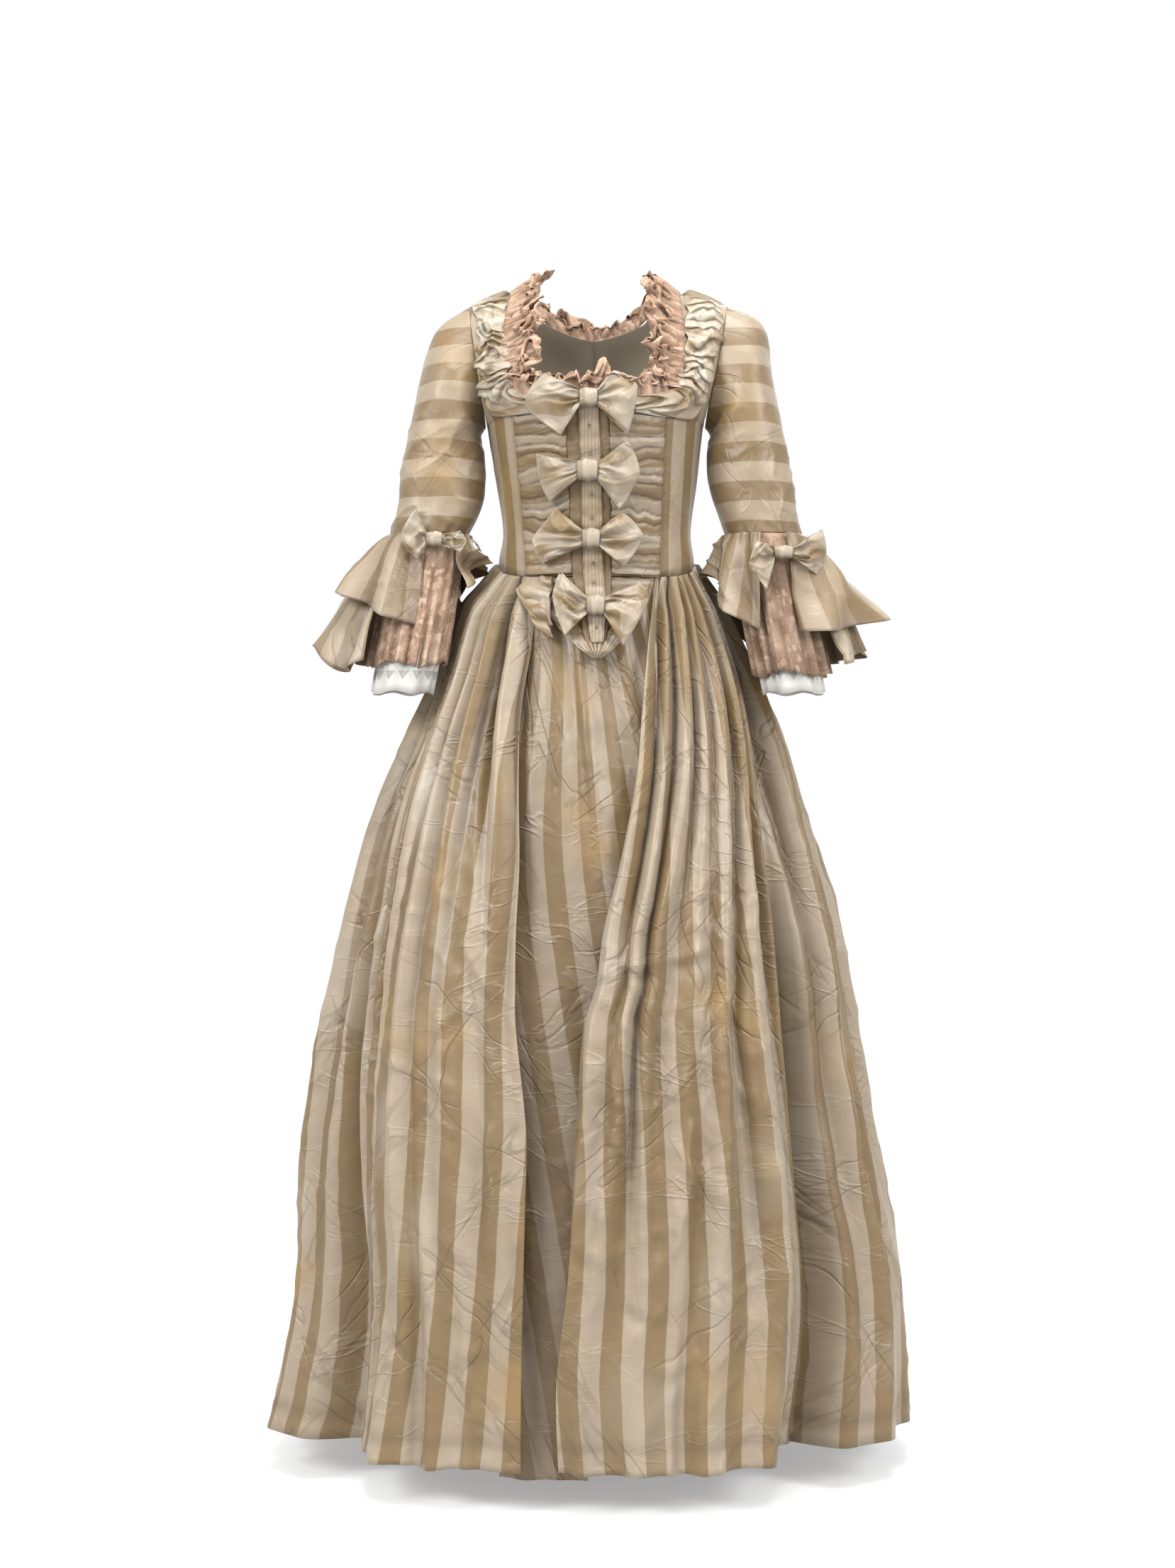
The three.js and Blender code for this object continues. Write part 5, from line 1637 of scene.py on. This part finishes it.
def deep_pleat(side, u, drop):
    """The front edges: a rolled edge, and behind it one pleat much deeper than the rest."""
    pleat = DEEP_PLEAT[side]
    centre = np.interp(drop, pleat["drops"], pleat["along"])
    start, length = pleat["fade"]
    shown = np.clip(start - drop / length, 0, 1) * np.clip(drop / 40, 0, 1)
    height, half = pleat["roll"]
    roll = height * bell(u - 0.02, half) * np.clip(drop / 200, 0, 1)
    return roll - pleat["depth"] * bell(u - centre, pleat["half"]) * shown


def skirt():
    for side in SIDES:

        def opening(drop, side=side):
            return open_angle(side, drop)

        def seam(drop, side=side):
            return seam_angle(side, drop)

        def behind(drop, side=side):
            return SIGN[side] * math.pi + 0 * drop

        front_edge = skirt_panel("front", side, opening, seam)
        skirt_panel("back", side, seam, behind, front_edge)


PETTICOAT_TUCK = 34
PETTICOAT_SHEAR = 0.17  # how far its stripes run aside for each unit down


def petticoat():
    u, v = grid(80, 160)
    drop = FULL_DROP * v
    width = read(SKIRT, "drop", drop, "right")
    under = PETTICOAT_TUCK * np.minimum(0.2 + drop / 300, 1) / width
    angle = mix(open_angle("right", drop) - under, open_angle("left", drop) + under, u)
    hang = np.minimum(drop / 120, 1)
    plain = skirt_form(angle, drop, -12 * hang)
    x = plain[..., 0]
    skew = x - PETTICOAT_SHEAR * drop
    fan = skew * (1 + 0.35 * bell(drop, 200))
    gathers = 6 * np.sin(fan / 9 + 2 * noise(fan / 30, drop / 300, 401)) * bell(drop, 230)
    waves = 6 * noise(skew / 28, drop / 420, 402) * hang + 3 * noise(skew / 60, drop / 160, 403)
    small = 0.55 * crinkles(x, drop, 404, SKIRT_CRINKLES) * hang
    back = 12 * hang + 12 * smooth(np.clip(drop / 500 - 0.2, 0, 1))
    p = skirt_form(angle, drop, -1.8 - back + waves * hang + gathers * hang + small)
    p[..., 2] -= (HEM_HEIGHT - PETTICOAT_HEM_HEIGHT) * drop / FULL_DROP
    fullness = 1 + 1.1 * bell(drop, 210)
    cloth = laid(skew * fullness * METRE + 0.03, drop * METRE)
    # Painted shade: darker lower down, where the petticoat lies further back, and towards the
    # wearer's right edge, less so low down.
    shade = 0.06 + 0.5 * v - 0.02 * gathers + 0.35 * bell(u, 0.3) * np.clip(1.3 - v, 0, 1)
    grids = [(p, cloth, {"deep": np.clip(shade, 0, 0.5)})]
    return cloth_piece(
        "petticoat_front", grids, (SKIRT_SILK, LINEN)
    )


# ------------------------------------------------------------------ stage, lights, camera

CAMERA_Y, CAMERA_HEIGHT, CAMERA_X = -2.750, 0.860, -0.00855
LENS, SENSOR = 49.74, 36
WORLD_STRENGTH = 1.0
FLOOR_FADE = (0.9, 2.4)  # where the floor starts to glow white and where it's all white, in metres


def stage():
    floor_level = -SHOULDER_HEIGHT * METRE
    mesh = bpy.data.meshes.new("floor")
    half = 30
    corners = [(-half, -half), (half, -half), (half, half), (-half, half)]
    mesh.from_pydata([(x, y, floor_level) for x, y in corners], [], [(0, 1, 2, 3)])
    floor = bpy.data.objects.new("floor", mesh)
    bpy.context.scene.collection.objects.link(floor)
    s = Shader("pale_floor")
    place = s.add("ShaderNodeTexCoord", output=3)
    away = s.add("ShaderNodeVectorMath", {0: place}, output=1, operation="LENGTH")
    white = s.spread(away, *FLOOR_FADE)
    s.set("Specular IOR Level", 0.1)
    s.set("Emission Color", (1, 1, 1, 1))
    s.put(s.surface.inputs["Emission Strength"], white)
    s.finish(s.blend(white, (0.86, 0.86, 0.86, 1), (0, 0, 0, 1)), 0.7)
    mesh.materials.append(s.material)
    world = bpy.data.worlds.new("studio")
    world.use_nodes = True
    background = world.node_tree.nodes["Background"]
    background.inputs["Color"].default_value = (1, 1, 1, 1)
    background.inputs["Strength"].default_value = WORLD_STRENGTH
    bpy.context.scene.world = world
    bpy.context.scene.view_settings.view_transform = "Standard"


# Soft boxes: place, size and power in watts. Each looks at the middle of the gown.
LIGHTS = (
    ("key", (-2.3, -2.4, 1.1), 1.3, 125),
    ("fill", (2.4, -2.1, 0.9), 1.3, 90),
    ("top", (0.1, -0.9, 2.1), 1.2, 85),
    ("back", (0.6, 2.8, 1.5), 1.4, 60),
)
LIGHT_TARGET = (0, 0, -0.5)


def lights():
    for name, place, size, power in LIGHTS:
        data = bpy.data.lights.new(name, "AREA")
        data.size = size
        data.energy = power
        lamp = bpy.data.objects.new(name, data)
        bpy.context.scene.collection.objects.link(lamp)
        lamp.location = place
        aim = np.array(LIGHT_TARGET) - np.array(place)
        flat = math.hypot(aim[0], aim[1])
        lamp.rotation_euler = (math.atan2(flat, -aim[2]), 0, math.atan2(-aim[0], aim[1]))


def camera():
    data = bpy.data.cameras.new("camera")
    data.lens = LENS
    data.sensor_width = SENSOR
    data.sensor_fit = "AUTO"
    eye = bpy.data.objects.new("camera", data)
    bpy.context.scene.collection.objects.link(eye)
    eye.location = (CAMERA_X, CAMERA_Y, CAMERA_HEIGHT - SHOULDER_HEIGHT * METRE)
    eye.rotation_euler = (math.pi / 2, 0, 0)
    bpy.context.scene.camera = eye


# ------------------------------------------------------------------ the gown

camera()
stage()
lights()
stomacher()
front_placket()
basque()
waist_puff()
petticoat()
robing_back()
neck_lace_front()
neck_lace_back()
front_bows()
for wearer_side in SIDES:
    bodice_panel(wearer_side, behind=False)
    bodice_panel(wearer_side, behind=True)
    ruching(wearer_side)
    robing(wearer_side)
    neck_lace_side(wearer_side)
    sleeve(wearer_side)
    sleeve_bow(wearer_side)
    flounce("upper", wearer_side)
    flounce("lower", wearer_side)
    sleeve_lace(wearer_side)
    under_cuff(wearer_side)
skirt()
